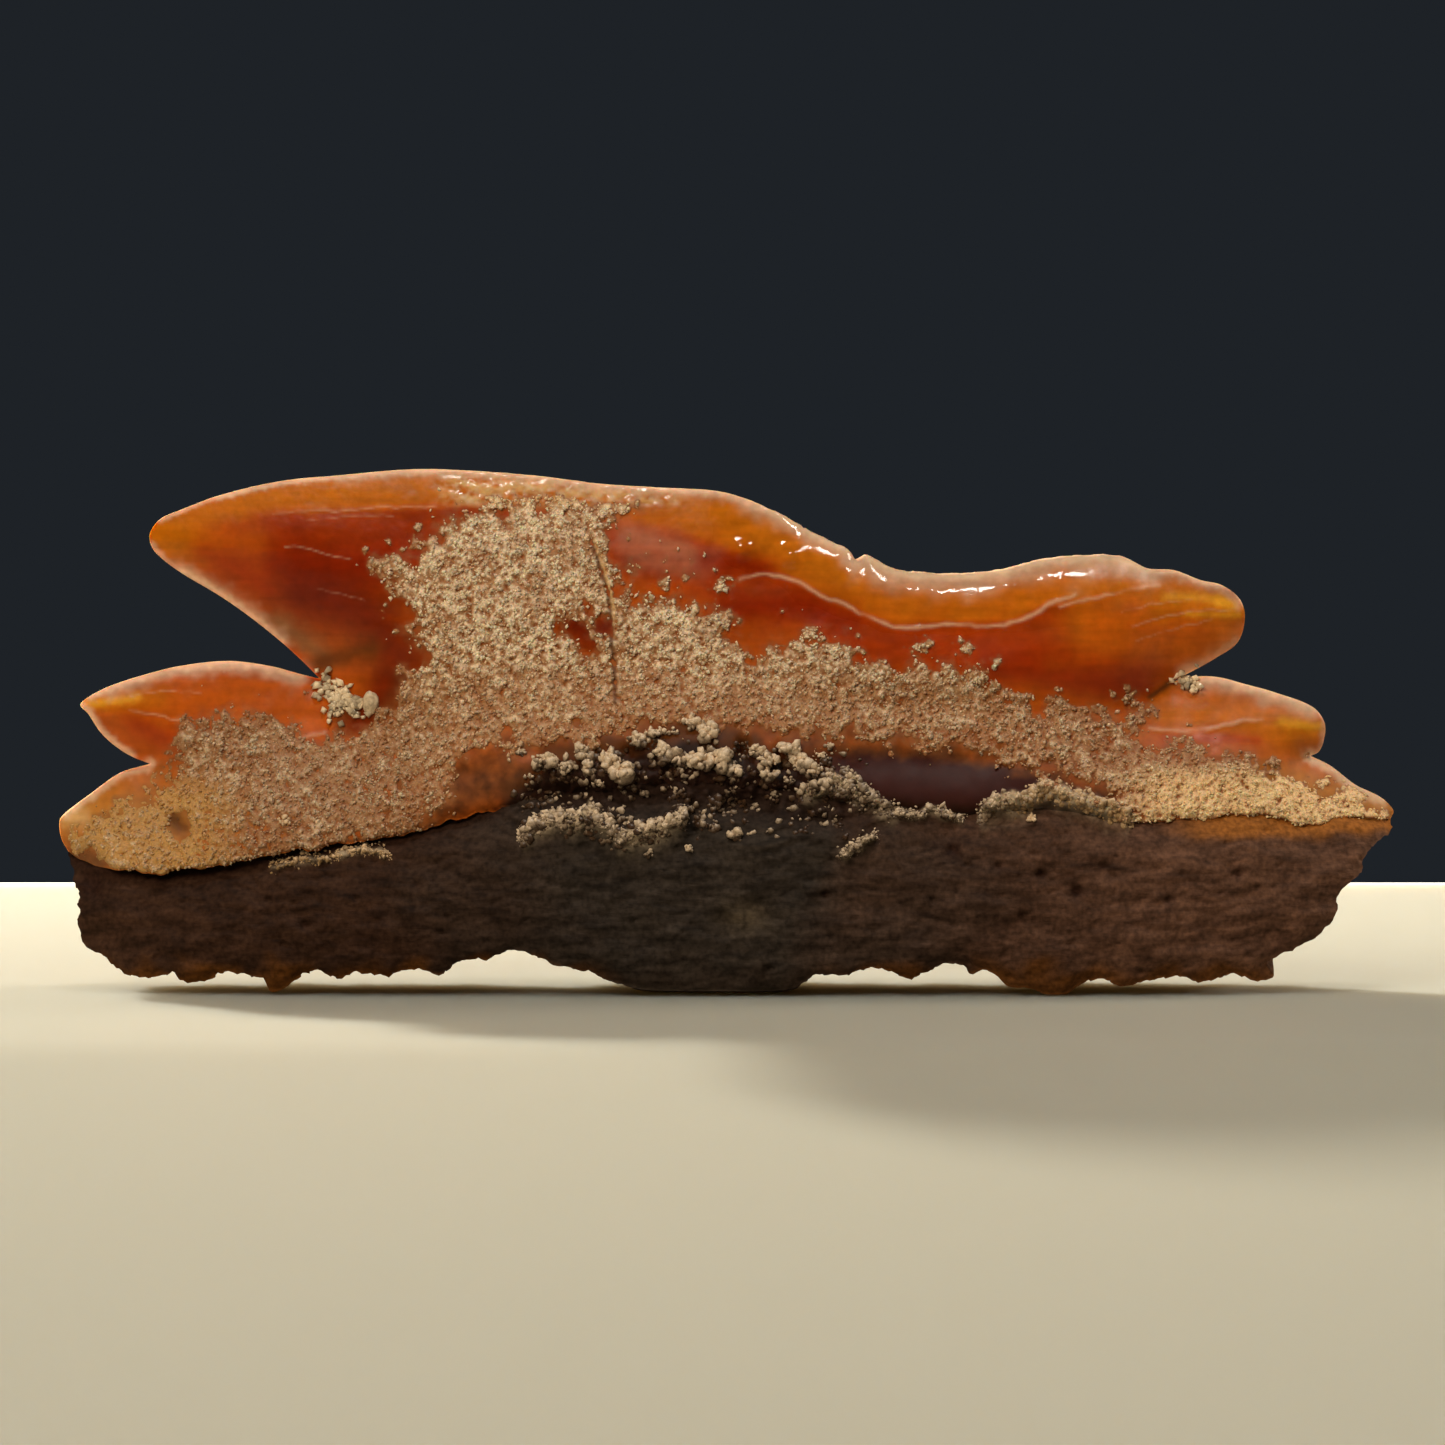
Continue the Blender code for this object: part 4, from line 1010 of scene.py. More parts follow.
def crust_colour(points, height):
    """Pale on top and brown in the gaps, more golden along the edge and the base."""
    x, z = points.T
    lift = smoothstep((height - 0.002) / 0.016 + 0.15 * noise(points, 0.04, 17))
    low = fall(z, 3.4, 0.5)
    uneven = 0.25 * noise(points, 0.35, 16, octaves=2) + 0.45 * noise(points, 0.05, 38, octaves=2)
    top = smoothstep((height - 0.016 - 0.006 * low) / 0.020 + uneven)
    left = fall(x, -2.4, 1.0)
    drift = 0.9 * noise(points, 0.28, 37, octaves=3)
    patches = smoothstep(0.25 + drift + 0.35 * np.maximum(low * 0.7, left))
    golden = rise(x, 3.6, 1.0) * fall(z, 2.35, 0.3) + 0.6 * rise(z, 4.75, 0.2)
    ochre = fall(x, -4.6, 0.8) * fall(z, 2.3, 0.4)
    dull = fall(x, -2.6, 0.8) * fall(z, 3.1, 0.4)
    pits = bumps(points, round_bumps(CRUST_PITS)) / 0.16
    colour = layered(
        CRUST_LOW,
        (CRUST_MID, lift),
        (CRUST_RUSTY, 0.60 * patches * lift),
        (CRUST_HIGH, top * (1 - 0.35 * low) * (1 - 0.45 * patches)),
        (CRUST_GOLD, 0.8 * np.clip(golden, 0, 1) * lift),
        (CRUST_OCHRE, 0.75 * ochre * (1 - 0.6 * top)),
    )
    return layered(
        colour * (1 - 0.12 * dull)[:, None],
        # Painted shadow in the pits and painted shade in the hairline's groove; the crack itself is a pale
        # gold line.
        (COLOURS["shadow"], np.clip(pits, 0, 0.9)),
        (COLOURS["brown"], 0.8 * hairline(points, HAIRLINE_GROOVE, 0.022)),
        (COLOURS["gold"], 0.6 * hairline(points, 0, 0.020) * rise(z, 3.5, 0.4)),
    )


def make_crust(material):
    spread, _ = lattice(CRUST_GRID)
    keep = (CRUST_INSET(spread) > -CRUST_OVERREACH) & (CROWN_INSET(spread) > 0.01)
    keep &= spread[:, 1] > FRONT.lip_height(spread) + 0.004
    points = spread[keep]
    keep_all = 0
    made, _, faces = delaunay_2d_cdt([Vector(point) for point in points], [], [], keep_all, WELD)[:3]
    points = np.array([point[:] for point in made])
    faces = np.array(faces)
    height = crust_height(points)
    corners = points[faces]
    longest = np.linalg.norm(corners - np.roll(corners, 1, axis=1), axis=2).max(axis=1)
    keep = (longest < CRUST_GRID * CRUST_LONGEST) & (height[faces].max(axis=1) > CRUST_SUNK * 0.6)
    used, renumbered = np.unique(faces[keep], return_inverse=True)
    points, height, faces = points[used], height[used], renumbered.reshape(-1, 3)
    calm = smoothstep(CROWN_INSET(points) / 0.06) * smoothstep(FRONT.above_lip(points) / 0.03)
    height = height * calm + CRUST_SUNK * (1 - calm)
    verts = at_depth(points, -(crown_front(points, fine=False) + height))
    a, b, c = (verts[faces[:, k]] for k in range(3))
    faces = faces if np.cross(b - a, c - a)[:, 1].sum() < 0 else faces[:, ::-1]
    return mesh_piece("crust", verts, faces, crust_colour(points, height), material)


ROOT_LEFT = (0.034, 0.0155, 0.0085)
ROOT_MIDDLE = (0.031, 0.0225, 0.0165)
ROOT_RIGHT = (0.058, 0.028, 0.0165)
ROOT_FAR_RIGHT = (0.096, 0.045, 0.026)
# Painted glow of light through the root's thin bottom edges.
ROOT_GLOW = (0.12, 0.040, 0.006)
ROOT_ORANGE = (0.32, 0.11, 0.020)
ROOT_PALE = (0.150, 0.105, 0.060)
# The root's colours along x, and its pale patch: x, z, reach along x, reach along z, strength.
ROOT_STOPS = [-3.5, -1.5, 0.8, 2.5, 4.2]
ROOT_SHADES = [ROOT_LEFT, ROOT_MIDDLE, ROOT_MIDDLE, ROOT_RIGHT, ROOT_FAR_RIGHT]
ROOT_PATCH = [(0.18, 0.80, 0.24, 0.16, 0.45)]


def root_tint(verts):
    points = verts[:, [0, 2]]
    x, z = points.T
    front = (verts[:, 1] < 0).astype(float)
    below_lip = -FRONT.above_lip(points)
    wander = x + 0.5 * noise(verts, 0.8, 71)
    colour = np.column_stack([np.interp(wander, ROOT_STOPS, channel) for channel in zip(*ROOT_SHADES)])
    drift = points + 0.08 * noise(points, 0.6, 76)[:, None]
    grain = 0.45 * noise(drift, (0.7, 0.07), 72, octaves=3) + 0.30 * noise(verts, 0.2, 73, octaves=3)
    # Painted glow along the thin bottom edges, weaker towards the middle.
    low = fall(z, 0.40 + 0.14 * noise(verts, 0.3, 74), 0.25)
    low *= np.interp(np.abs(x + 0.1), [0.9, 1.6], [0.05, 0.75])
    band = rise(x, 4.2, 0.8) * rise(z, 1.50 + 0.05 * noise(points, 0.3, 75), 0.12)
    # Painted shadow under the crown's lip on the left, and painted shade in the recessed middle below it.
    under_lip = near(below_lip, 0.16) * fall(x, -2.0, 0.5)
    centre = near(below_lip, 0.5) * fall(np.abs(x + 0.1), 2.0, 0.6)
    dark = np.clip(under_lip * 0.8 + centre * 0.75, 0, 0.9)
    patch = bumps(drift, ROOT_PATCH) * (1 + 0.3 * noise(points, 0.1, 77))
    pits = np.clip(bumps(points, round_bumps(ROOT_PITS)) / 0.08, 0, 0.8)
    return layered(
        colour * np.clip(1.15 + grain, 0.3, 2.2)[:, None],
        (ROOT_GLOW, low),
        (ROOT_ORANGE, band),
        (COLOURS["shadow"], dark * front),
        (ROOT_PALE, patch * front),
        (COLOURS["shadow"], pits * front),
        (LEDGE_COLOUR, ledges(points)[1] * front),
    )


def behind_lip(points):
    """How far up the root reaches behind the crown's lip."""
    return 0.2 * fall(np.abs(points[:, 0]), 6.35, 0.5)


def make_root(material):
    rim = ROOT_LINE.copy()
    rim[:, 1] = np.maximum(rim[:, 1], 0.01)
    steady = rise(rim[:, 1], 0.05, 0.1)[:, None]
    crumble = np.column_stack([noise(rim, 0.08, 91, octaves=2), noise(rim, 0.08, 92, octaves=2)])
    rim[1:-1] += (0.022 * steady * crumble)[1:-1]
    loops, spreads = [], []
    for side, spacing in ((FRONT, ROOT_FRONT_GRID), (BACK, ROOT_BACK_GRID)):
        line = resample(side.lip, ROOT_LIP_POINTS)
        line[:, 1] += behind_lip(line)
        loops.append(np.concatenate([rim, line[1:-1]]))
        spread, _ = lattice(spacing)
        top = side.lip_height(spread) + behind_lip(spread)
        keep = (ROOT_INSET(spread) > spacing * 0.9) & (spread[:, 1] < top - spacing * CLEARANCE)
        spreads.append(spread[keep])
    on_rim = np.arange(len(loops[0])) < len(rim)

    def wall(front, back, share):
        """Between the rims the underside and the ends are hollowed towards the root's middle."""
        place = straight_across(front, back, share)
        spine = np.column_stack([np.clip(place[:, 0], -5.6, 5.6), np.full(len(place), 0.9)])
        away = spine - place[:, [0, 2]]
        away /= np.linalg.norm(away, axis=1)[:, None] + 1e-9
        rough = 0.45 + 0.45 * noise(place, 0.7, 93) + 0.25 * noise(place, 0.22, 94, octaves=3)
        arch = math.sin(math.pi * share) ** 0.5
        hollow = HOLLOW_DEPTH * np.maximum(rough, 0) * arch * fall(place[:, 2], 1.4, 0.6) * on_rim
        belly = fall(np.abs(place[:, 0] + 0.1), 0.95, 0.15) * on_rim
        hollow *= 1 - belly
        place[:, 0] += hollow * away[:, 0]
        place[:, 2] += hollow * away[:, 1]
        place[:, 2] = np.maximum(place[:, 2] - belly * BELLY_DROP * arch, 0.0)
        return place

    welded = np.zeros(len(on_rim), bool)
    verts, faces = closed_solid(loops, welded, (root_front, root_back), spreads, ROOT_WALL_ROWS, wall)
    return mesh_piece("root_mass", verts, outward(verts, faces), root_tint(verts), material)


def icosahedron():
    t = (1 + math.sqrt(5)) / 2
    verts = np.array([
        (-1, t, 0), (1, t, 0), (-1, -t, 0), (1, -t, 0), (0, -1, t), (0, 1, t), (0, -1, -t), (0, 1, -t),
        (t, 0, -1), (t, 0, 1), (-t, 0, -1), (-t, 0, 1),
    ], float)
    verts /= np.linalg.norm(verts[0])
    faces = np.array([
        (0, 11, 5), (0, 5, 1), (0, 1, 7), (0, 7, 10), (0, 10, 11), (1, 5, 9), (5, 11, 4), (11, 10, 2),
        (10, 7, 6), (7, 1, 8), (3, 9, 4), (3, 4, 2), (3, 2, 6), (3, 6, 8), (3, 8, 9), (4, 9, 5),
        (2, 4, 11), (6, 2, 10), (8, 6, 7), (9, 8, 1),
    ])
    return verts, faces


def octahedron():
    verts = [(1, 0, 0), (-1, 0, 0), (0, 1, 0), (0, -1, 0), (0, 0, 1), (0, 0, -1)]
    faces = [(0, 2, 4), (2, 1, 4), (1, 3, 4), (3, 0, 4), (2, 0, 5), (1, 2, 5), (3, 1, 5), (0, 3, 5)]
    return np.array(verts, float), np.array(faces)


def subdivided(verts, faces):
    """Splits each triangle of a ball in four and puts the new points on the ball."""
    sides = np.sort(np.concatenate([faces[:, [0, 1]], faces[:, [1, 2]], faces[:, [2, 0]]]), axis=1)
    unique, where = np.unique(sides, axis=0, return_inverse=True)
    where = where.reshape(-1)
    middles = verts[unique].mean(axis=1)
    middles /= np.linalg.norm(middles, axis=1)[:, None]
    ab, bc, ca = (len(verts) + where[k * len(faces) : (k + 1) * len(faces)] for k in range(3))
    a, b, c = faces.T
    parts = ((a, ab, ca), (ab, b, bc), (ca, bc, c), (ab, bc, ca))
    return np.concatenate([verts, middles]), np.concatenate([np.column_stack(part) for part in parts])


def random_turns(rng, count):
    """Random rotation matrices."""
    q = rng.normal(size=(count, 4))
    w, x, y, z = (q / np.linalg.norm(q, axis=1)[:, None]).T
    return np.stack([
        np.stack([1 - 2 * (y * y + z * z), 2 * (x * y - z * w), 2 * (x * z + y * w)], axis=1),
        np.stack([2 * (x * y + z * w), 1 - 2 * (x * x + z * z), 2 * (y * z - x * w)], axis=1),
        np.stack([2 * (x * z - y * w), 2 * (y * z + x * w), 1 - 2 * (x * x + y * y)], axis=1),
    ], axis=1)


def scattered(rng, shape, centres, radii, stretch, chips):
    """Vertices and faces of one crumb at each centre, each turned, stretched and chipped its own way."""
    ball, sides = shape
    count = len(centres)
    stretches = rng.uniform(*stretch, (count, 1, 3))
    chipped = rng.uniform(*chips, (count, len(ball), 1))
    crumbs = np.einsum("nij,nvj->nvi", random_turns(rng, count), ball[None] * stretches * chipped)
    verts = centres[:, None] + crumbs * np.asarray(radii)[:, None, None]
    faces = sides[None] + (np.arange(count) * len(ball))[:, None, None]
    return verts.reshape(-1, 3), faces.reshape(-1, 3)


def make_grains(material):
    rng = np.random.default_rng(GRAIN_SEED)
    spots = rng.uniform(*GRAIN_AREA, (GRAIN_TRIES, 2))
    spots = spots[(CROWN_INSET(spots) > 0.03) & (spots[:, 1] > FRONT.lip_height(spots))]
    height = crust_height(spots)
    strays = 0.03 * rise(CRUST_INSET(spots), -0.16, 0.16) * smoothstep(noise(spots, 0.25, 18) + 0.2)
    strays += 0.45 * rise(height, -0.012, 0.012)
    keep = rng.uniform(size=len(spots)) < np.where(height > 0, 0.25 + 14 * height, strays)
    keep &= hairline(spots, HAIRLINE_GROOVE / 2, 0.030) < 0.45
    spots, height = spots[keep], height[keep]
    radii = GRAIN_RADIUS[0] + (GRAIN_RADIUS[1] - GRAIN_RADIUS[0]) * rng.uniform(size=len(spots)) ** 2
    depth = crown_front(spots, fine=False) + np.maximum(height, 0)
    centres = at_depth(spots, -(depth + radii * rng.uniform(0.0, 0.7, len(spots))))
    colour = crust_colour(spots, np.maximum(height, 0.02) + 0.012)
    colour = colour * rng.uniform(0.78, 1.20, (len(spots), 1))
    left = spots[:, 0] < np.median(spots[:, 0])
    for name, some in (("grains_left", left), ("grains_right", ~left)):
        verts, faces = scattered(rng, octahedron(), centres[some], radii[some], (0.4, 1.8), (0.75, 1.25))
        mesh_piece(name, verts, faces, np.repeat(colour[some], 6, axis=0), material, smooth=False)


NODULE_PALE_AND_LIT = (0.72, 0.535, 0.350)
NODULE_DARK_AND_SHADED = (0.060, 0.028, 0.012)


def front_surface(points):
    """The depth of whichever is visible on the front: the crown above its lip, the root below."""
    above = points[:, 1] >= FRONT.lip_height(points)
    return np.where(above, crown_front(points, fine=False), root_front(points))


def nodule_centres(rng):
    """Centres, radii and paleness of the lumps that make up each nodule, the higher ones paler by painted
    light.
    """
    for x, z, along, up, pale in NODULES:
        count = round(NODULE_LUMPS + LUMPS_PER_AREA * along * up)
        depth = front_surface(np.array([(x, z)]))[0]
        ways = rng.normal(size=(count, 3))
        ways /= np.linalg.norm(ways, axis=1)[:, None]
        ways[:, 1] = -np.abs(ways[:, 1])
        reach = rng.uniform(0.2, 1.05, (count, 1))
        at = np.array([x, -depth, z]) + ways * reach * np.array([along, min(along, up) * 1.3, up])
        # Painted light: lumps higher on the nodule are paler.
        shade = pale + 0.55 * ways[:, 2] * reach[:, 0] + rng.uniform(-0.35, 0.15, count)
        yield at, rng.uniform(0.15, 0.52, count) * min(along, up), shade


def ledge_centres(rng):
    """The same for the lumps and crumbs that run along each ledge, thickest at its top."""
    for pale, drop, size, path in LEDGES:
        line = smooth_curve(path, 0.02)
        for density, scale, spread in ((2, 1.0, 0.02), (4.5, 0.45, 0.025)):
            count = round(density * len(line))
            share = rng.uniform(0, 1, count) ** 1.3
            at = line[rng.integers(0, len(line), count)] + rng.normal(0, spread, (count, 2))
            at[:, 1] -= share * drop
            radii = scale * size * rng.uniform(0.4, 1.0, count) * (1 - 0.3 * share)
            depth = front_surface(at) - 0.45 * radii
            shade = pale * (1 - 0.8 * share) + rng.uniform(-0.3, 0.1, count)
            yield at_depth(at, -depth), radii, shade


def rubble_centres(rng):
    """The same for the small dark and tan crumbs that fill the junction between the nodules."""
    at = rng.uniform(*RUBBLE_AREA, (RUBBLE_TRIES, 2))
    x, z = at.T
    likely = fall(z, line_height(DARK_BASE_EDGE, x) - 0.04, 0.12) * rise(z, 1.45, 0.5)
    likely *= between(x, -2.2, 1.6, 0.4, 0.5)
    patchy = smoothstep(0.45 + 1.1 * noise(at, 0.30, 63, octaves=3))
    at = at[rng.uniform(size=len(at)) < 0.42 * likely * patchy]
    radii = rng.uniform(0.012, 0.042, len(at))
    depth = front_surface(at) - 0.3 * radii
    shade = 0.02 + 0.55 * noise(at, 0.22, 64, octaves=2) + rng.uniform(-0.2, 0.3, len(at))
    yield at_depth(at, -depth), radii, shade


def make_lumps(name, material, rng, lumps, ball, chips):
    """One piece of many lumps, roughened, and coloured by their paleness and painted light: paler above,
    browner below.
    """
    centres, radii, pale = (np.concatenate(some) for some in zip(*lumps))
    verts, faces = scattered(rng, ball, centres, radii, (0.6, 1.4), chips)
    middles, sizes, light = (np.repeat(some, len(ball[0]), axis=0) for some in (centres, radii, pale))
    rough = 0.25 * noise(verts, 0.09, 51, octaves=2) + 0.20 * noise(verts, 0.03, 52, octaves=2)
    verts = middles + (verts - middles) * (1 + rough)[:, None]
    # Painted light: each lump is paler on its upper side and where it bulges out, darker below.
    over = (verts - middles)[:, 2] / sizes
    light += 0.25 * (over + rough + noise(verts, 0.12, 53, octaves=2))
    golden = rise(np.abs(verts[:, 0] - 0.2), 2.2, 1.0)
    colour = layered(NODULE_DARK_AND_SHADED, (NODULE_PALE_AND_LIT, smoothstep(light)), (COLOURS["gold"], 0.40 * golden))
    return mesh_piece(name, verts, faces, colour, material)


def make_nodules(material):
    rng = np.random.default_rng(GRAIN_SEED + 1)
    coarse = icosahedron()
    make_lumps("nodules", material, rng, list(nodule_centres(rng)), subdivided(*coarse), (0.80, 1.20))
    small = list(ledge_centres(rng)) + list(rubble_centres(rng))
    make_lumps("rubble", material, rng, small, coarse, (0.70, 1.30))


# Clear crystals (x, z, reach) and a pale round lump in the notch over the left cusplet.
CRYSTAL_SPOTS = [(-3.98, 3.00, 0.16), (-3.85, 2.92, 0.14), (-3.70, 2.84, 0.12), (-3.92, 2.84, 0.10),
(4.60, 3.08, 0.12)]
CRYSTALS_PER_REACH = 300
CRYSTAL_COLOUR = (0.66, 0.50, 0.31)
LUMP = (-3.56, 2.88, 0.10)
LUMP_LOW = (0.36, 0.22, 0.11)


def make_crystals(material):
    rng = np.random.default_rng(GRAIN_SEED + 2)
    clusters = []
    for x, z, reach in CRYSTAL_SPOTS:
        count = round(reach * CRYSTALS_PER_REACH)
        clusters.append(rng.normal((x, z), reach * 0.5, (count, 2)))
    spots = np.concatenate(clusters)
    spots = spots[CROWN_INSET(spots) > 0.005]
    radii = rng.uniform(0.02, 0.055, len(spots))
    centres = at_depth(spots, -(crown_front(spots, fine=False) + radii * 0.5))
    verts, faces = scattered(rng, octahedron(), centres, radii, (0.6, 1.4), (0.8, 1.2))
    tint = np.repeat(np.array([CRYSTAL_COLOUR]) * rng.uniform(0.5, 1.5, (len(spots), 1)), 6, axis=0)
    mesh_piece("crystals", verts, faces, tint, material, smooth=False)


def make_lump(material):
    x, z, radius = LUMP
    ball = subdivided(*subdivided(*subdivided(*icosahedron())))
    depth = crown_front(np.array([(x, z)]), fine=False)[0]
    rough = 1 + 0.10 * noise(ball[0], 0.8, 57, octaves=3)
    verts = np.array([x, -depth - 0.02, z]) + ball[0] * rough[:, None] * radius * np.array([0.85, 0.8, 1.15])
    pale = np.clip(0.75 + 0.3 * noise(verts, 0.08, 58, octaves=2), 0, 1)
    colour = blend(LUMP_LOW, CRYSTAL_COLOUR, pale)
    mesh_piece("round_lump", verts, ball[1], colour, material)


# The shader's values that the crust and its loose grains share.
SEDIMENT = {
    "Specular IOR Level": 0.3,
    "Subsurface Weight": 0.35, "Subsurface Radius": (1.0, 0.45, 0.2), "Subsurface Scale": 0.03 * MM,
}
# Each material's speckle (size, strength), bumps (height, strength) and values. A material without a
# roughness takes it from the fourth number of the piece's colours.
MATERIALS = {
    "enamel": ((0.10, 0.10), (0.005, 0.5), {
        "IOR": 1.5, "Specular IOR Level": 0.13,
        "Subsurface Weight": 0.25, "Subsurface Radius": (1.0, 0.30, 0.08), "Subsurface Scale": 0.07 * MM,
    }),
    "root_fibre": ((0.05, 0.35), (0.015, 0.6), {"Roughness": 0.75, "Specular IOR Level": 0.05}),
    "sediment": ((0.018, 0.22), (0.006, 0.5), {"Roughness": 0.7, **SEDIMENT}),
    "grain": ((0.018, 0.22), (0.006, 0.5), {"Roughness": 0.5, **SEDIMENT}),
    "nodule": ((0.03, 0.30), (0.008, 0.6), {"Roughness": 0.45, "Specular IOR Level": 0.4}),
    "crystal": ((0.05, 0.2), None, {
        "Roughness": 0.08, "IOR": 1.6, "Coat Weight": 0.5, "Coat Roughness": 0.03,
    }),
}


def new_material(name):
    material = bpy.data.materials.new(name)
    material.use_nodes = True
    tree = material.node_tree
    return material, tree, tree.nodes["Principled BSDF"]


def add_noise(tree, size, detail, vector):
    """Fine noise with grains of the size in millimetres, read at the vector."""
    fine = tree.nodes.new("ShaderNodeTexNoise")
    fine.inputs["Scale"].default_value = 1 / (size * MM)
    fine.inputs["Detail"].default_value = detail
    tree.links.new(vector, fine.inputs["Vector"])
    return fine


def speckled(tree, colour, speckle, strength):
    """The colour made up to that share darker and lighter by the speckle."""
    span = tree.nodes.new("ShaderNodeMapRange")
    set_inputs(span, {"From Min": 0.3, "From Max": 0.7, "To Min": 1 - strength, "To Max": 1 + strength})
    tree.links.new(speckle, span.inputs["Value"])
    scale = tree.nodes.new("ShaderNodeVectorMath")
    scale.operation = "SCALE"
    tree.links.new(colour, scale.inputs[0])
    tree.links.new(span.outputs["Result"], scale.inputs["Scale"])
    return scale.outputs["Vector"]


def fibre_noise(tree, place):
    """Noise drawn out along the root's fibres."""
    stretch = tree.nodes.new("ShaderNodeMapping")
    stretch.inputs["Scale"].default_value = (0.3, 0.6, 1.4)
    tree.links.new(place, stretch.inputs["Vector"])
    fine = add_noise(tree, 0.04, 5, stretch.outputs["Vector"])
    fine.inputs["Distortion"].default_value = 0.6
    return fine.outputs["Fac"]


def add_bump(tree, shader, height, distance, strength):
    bump = tree.nodes.new("ShaderNodeBump")
    set_inputs(bump, {"Strength": strength, "Distance": distance * MM})
    tree.links.new(height, bump.inputs["Height"])
    tree.links.new(bump.outputs["Normal"], shader.inputs["Normal"])


def set_inputs(node, values):
    for name, value in values.items():
        node.inputs[name].default_value = value


def make_material(name):
    (speckle_size, speckle_strength), relief, values = MATERIALS[name]
    material, tree, shader = new_material(name)
    tint = tree.nodes.new("ShaderNodeAttribute")
    tint.attribute_name = "tint"
    place = tree.nodes.new("ShaderNodeTexCoord").outputs["Object"]
    speckle = add_noise(tree, speckle_size, 4, place).outputs["Fac"]
    colour = speckled(tree, tint.outputs["Color"], speckle, speckle_strength)
    tree.links.new(colour, shader.inputs["Base Color"])
    set_inputs(shader, values)
    if "Roughness" not in values:
        tree.links.new(tint.outputs["Alpha"], shader.inputs["Roughness"])
    if relief:
        height = fibre_noise(tree, place) if name == "root_fibre" else speckle
        add_bump(tree, shader, height, *relief)
    return material


# The pale slab, the camera and the lights.
SLAB_BACK = 18.0
SLAB_EDGE = -8.0
SLAB_ROUNDING = 16.0
SLAB_SLOPE = 5.0
SLAB_FRONT = -46.0
SLAB_HALF_WIDTH = 75.0
SLAB_FOOT = -40.0
SLAB_COLOUR = (0.42, 0.400, 0.325, 1)
PHOTO_SIDE_PX = 1445
PHOTO_PX_PER_MM = 100
PHOTO_MIDLINE_X = 727
PHOTO_CONTACT_Y = 990
CAMERA_DISTANCE = 250.0
CAMERA_ELEVATION = 3.0
SENSOR_MM = 36.0


def make_slab():
    """Flat where the tooth stands, then rounded over into a gentle slope towards the camera."""
    turns = np.radians(np.linspace(0, SLAB_SLOPE, 24))
    across = SLAB_EDGE - SLAB_ROUNDING * np.sin(turns)
    up = SLAB_ROUNDING * (np.cos(turns) - 1)
    last = up[-1] + (SLAB_FRONT - across[-1]) * math.tan(turns[-1])
    profile = [(SLAB_BACK, SLAB_FOOT), (SLAB_BACK, 0.0), *zip(across, up)]
    profile += [(SLAB_FRONT, last), (SLAB_FRONT, SLAB_FOOT)]
    count = len(profile)
    verts = [(side * SLAB_HALF_WIDTH * MM, y * MM, z * MM) for side in (-1, 1) for y, z in profile]
    strips = [(i, (i + 1) % count, count + (i + 1) % count, count + i) for i in range(count)]
    ends = [tuple(range(count))[::-1], tuple(range(count, 2 * count))]
    slab = bpy.data.meshes.new("slab")
    slab.from_pydata(verts, [], strips + ends)
    slab.shade_smooth()
    slab.set_sharp_from_angle(angle=math.radians(30))
    piece = bpy.data.objects.new("slab", slab)
    bpy.context.scene.collection.objects.link(piece)
    material, tree, shader = new_material("pale_slab")
    set_inputs(shader, {
        "Base Color": SLAB_COLOUR, "Roughness": 0.5, "Specular IOR Level": 0.2,
        "Subsurface Weight": 1.0, "Subsurface Radius": (1.0, 0.85, 0.7), "Subsurface Scale": 4.0 * MM,
    })
    slab.materials.append(material)


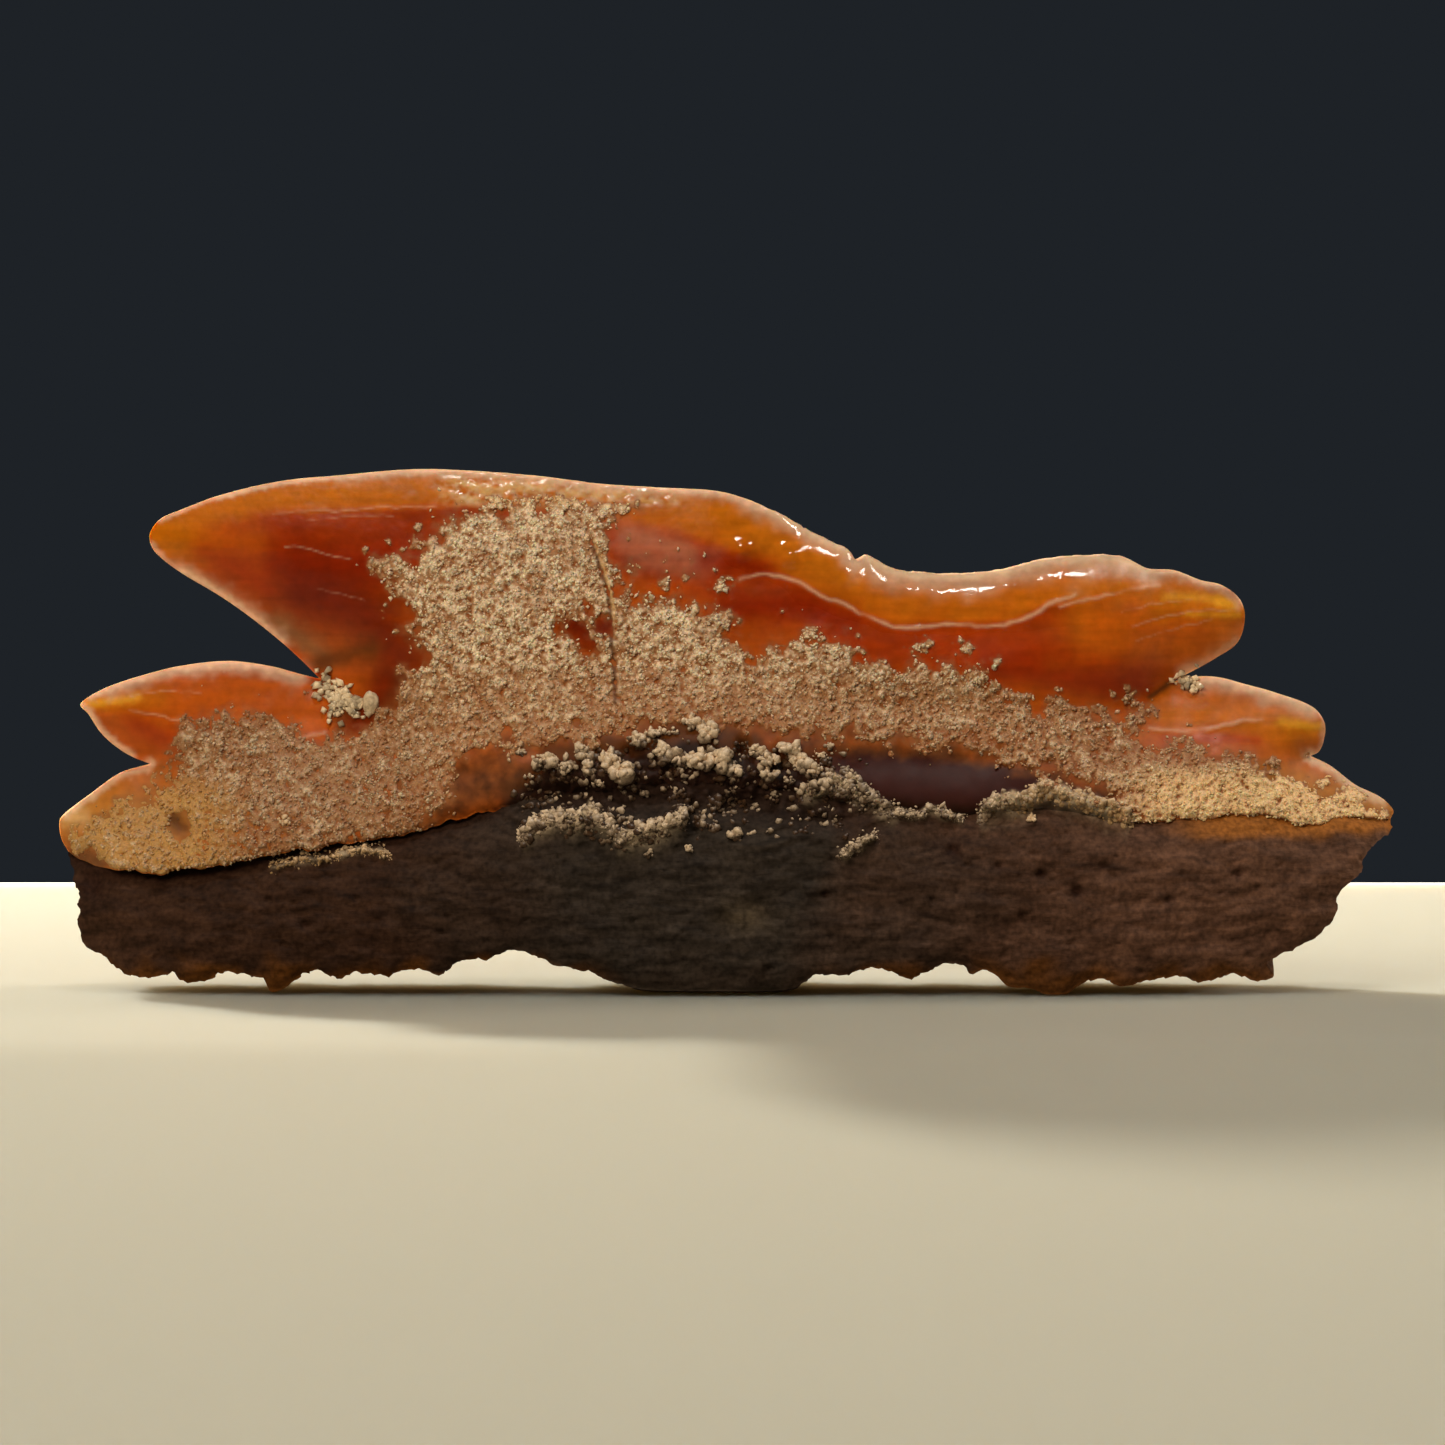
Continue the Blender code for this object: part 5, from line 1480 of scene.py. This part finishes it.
def make_camera():
    camera = bpy.data.cameras.new("camera")
    width_mm = PHOTO_SIDE_PX / PHOTO_PX_PER_MM
    camera.sensor_width = SENSOR_MM
    camera.lens = SENSOR_MM * CAMERA_DISTANCE / width_mm
    camera.clip_start = 0.01
    camera.clip_end = 5
    eye = bpy.data.objects.new("camera", camera)
    bpy.context.scene.collection.objects.link(eye)
    tilt = math.radians(CAMERA_ELEVATION)
    middle = PHOTO_SIDE_PX / 2
    across = (middle - PHOTO_MIDLINE_X) / PHOTO_PX_PER_MM
    up = (PHOTO_CONTACT_Y - middle) / PHOTO_PX_PER_MM
    aim = Vector((across, -up * math.sin(tilt), up * math.cos(tilt)))
    back = Vector((0, -math.cos(tilt), math.sin(tilt)))
    eye.location = (aim + back * CAMERA_DISTANCE) * MM
    eye.rotation_mode = "QUATERNION"
    eye.rotation_quaternion = (-back).to_track_quat("-Z", "Y")
    bpy.context.scene.camera = eye


def add_light(name, place, target, size, power, colour, glossy=True, diffuse=True):
    light = bpy.data.lights.new(name, "AREA")
    light.shape = "DISK"
    light.size = size * MM
    light.energy = power
    light.color = colour
    lamp = bpy.data.objects.new(name, light)
    bpy.context.scene.collection.objects.link(lamp)
    lamp.location = Vector(place) * MM
    lamp.rotation_mode = "QUATERNION"
    lamp.rotation_quaternion = (Vector(place) - Vector(target)).to_track_quat("Z", "Y")
    lamp.visible_camera = False
    lamp.visible_glossy = glossy
    lamp.visible_diffuse = diffuse


def make_lights():
    world = bpy.data.worlds.new("slate")
    bpy.context.scene.world = world
    world.use_nodes = True
    backdrop = world.node_tree.nodes["Background"]
    backdrop.inputs["Color"].default_value = (0.013, 0.016, 0.020, 1)
    backdrop.inputs["Strength"].default_value = 1.0
    centre = (0, 0, 2.5)
    add_light("key_behind", (-43, 72, 32), (0, 0, 1), 7, 0.27, (1.0, 0.93, 0.80), glossy=False)
    add_light("front_softbox", (-60, -130, 95), centre, 90, 0.165, (1.0, 0.90, 0.75), glossy=False)
    add_light("overhead_glint", (2, -24, 100), centre, 12, 0.026, (1.0, 0.95, 0.86))
    add_light("side_glint", (46, -4, 88), centre, 14, 0.034, (1.0, 0.95, 0.86), diffuse=False)
    add_light("sparkle", (-6, -26, 98), centre, 12, 0.042, (1.0, 0.97, 0.90), diffuse=False)
    add_light("right_rim", (90, 40, 50), centre, 30, 0.05, (1.0, 0.90, 0.75))
    bpy.context.scene.view_settings.view_transform = "Standard"


def main():
    make_camera()
    nodule = make_material("nodule")
    make_crown(make_material("enamel"))
    make_crust(make_material("sediment"))
    make_root(make_material("root_fibre"))
    make_grains(make_material("grain"))
    make_nodules(nodule)
    make_crystals(make_material("crystal"))
    make_lump(nodule)
    make_slab()
    make_lights()


main()
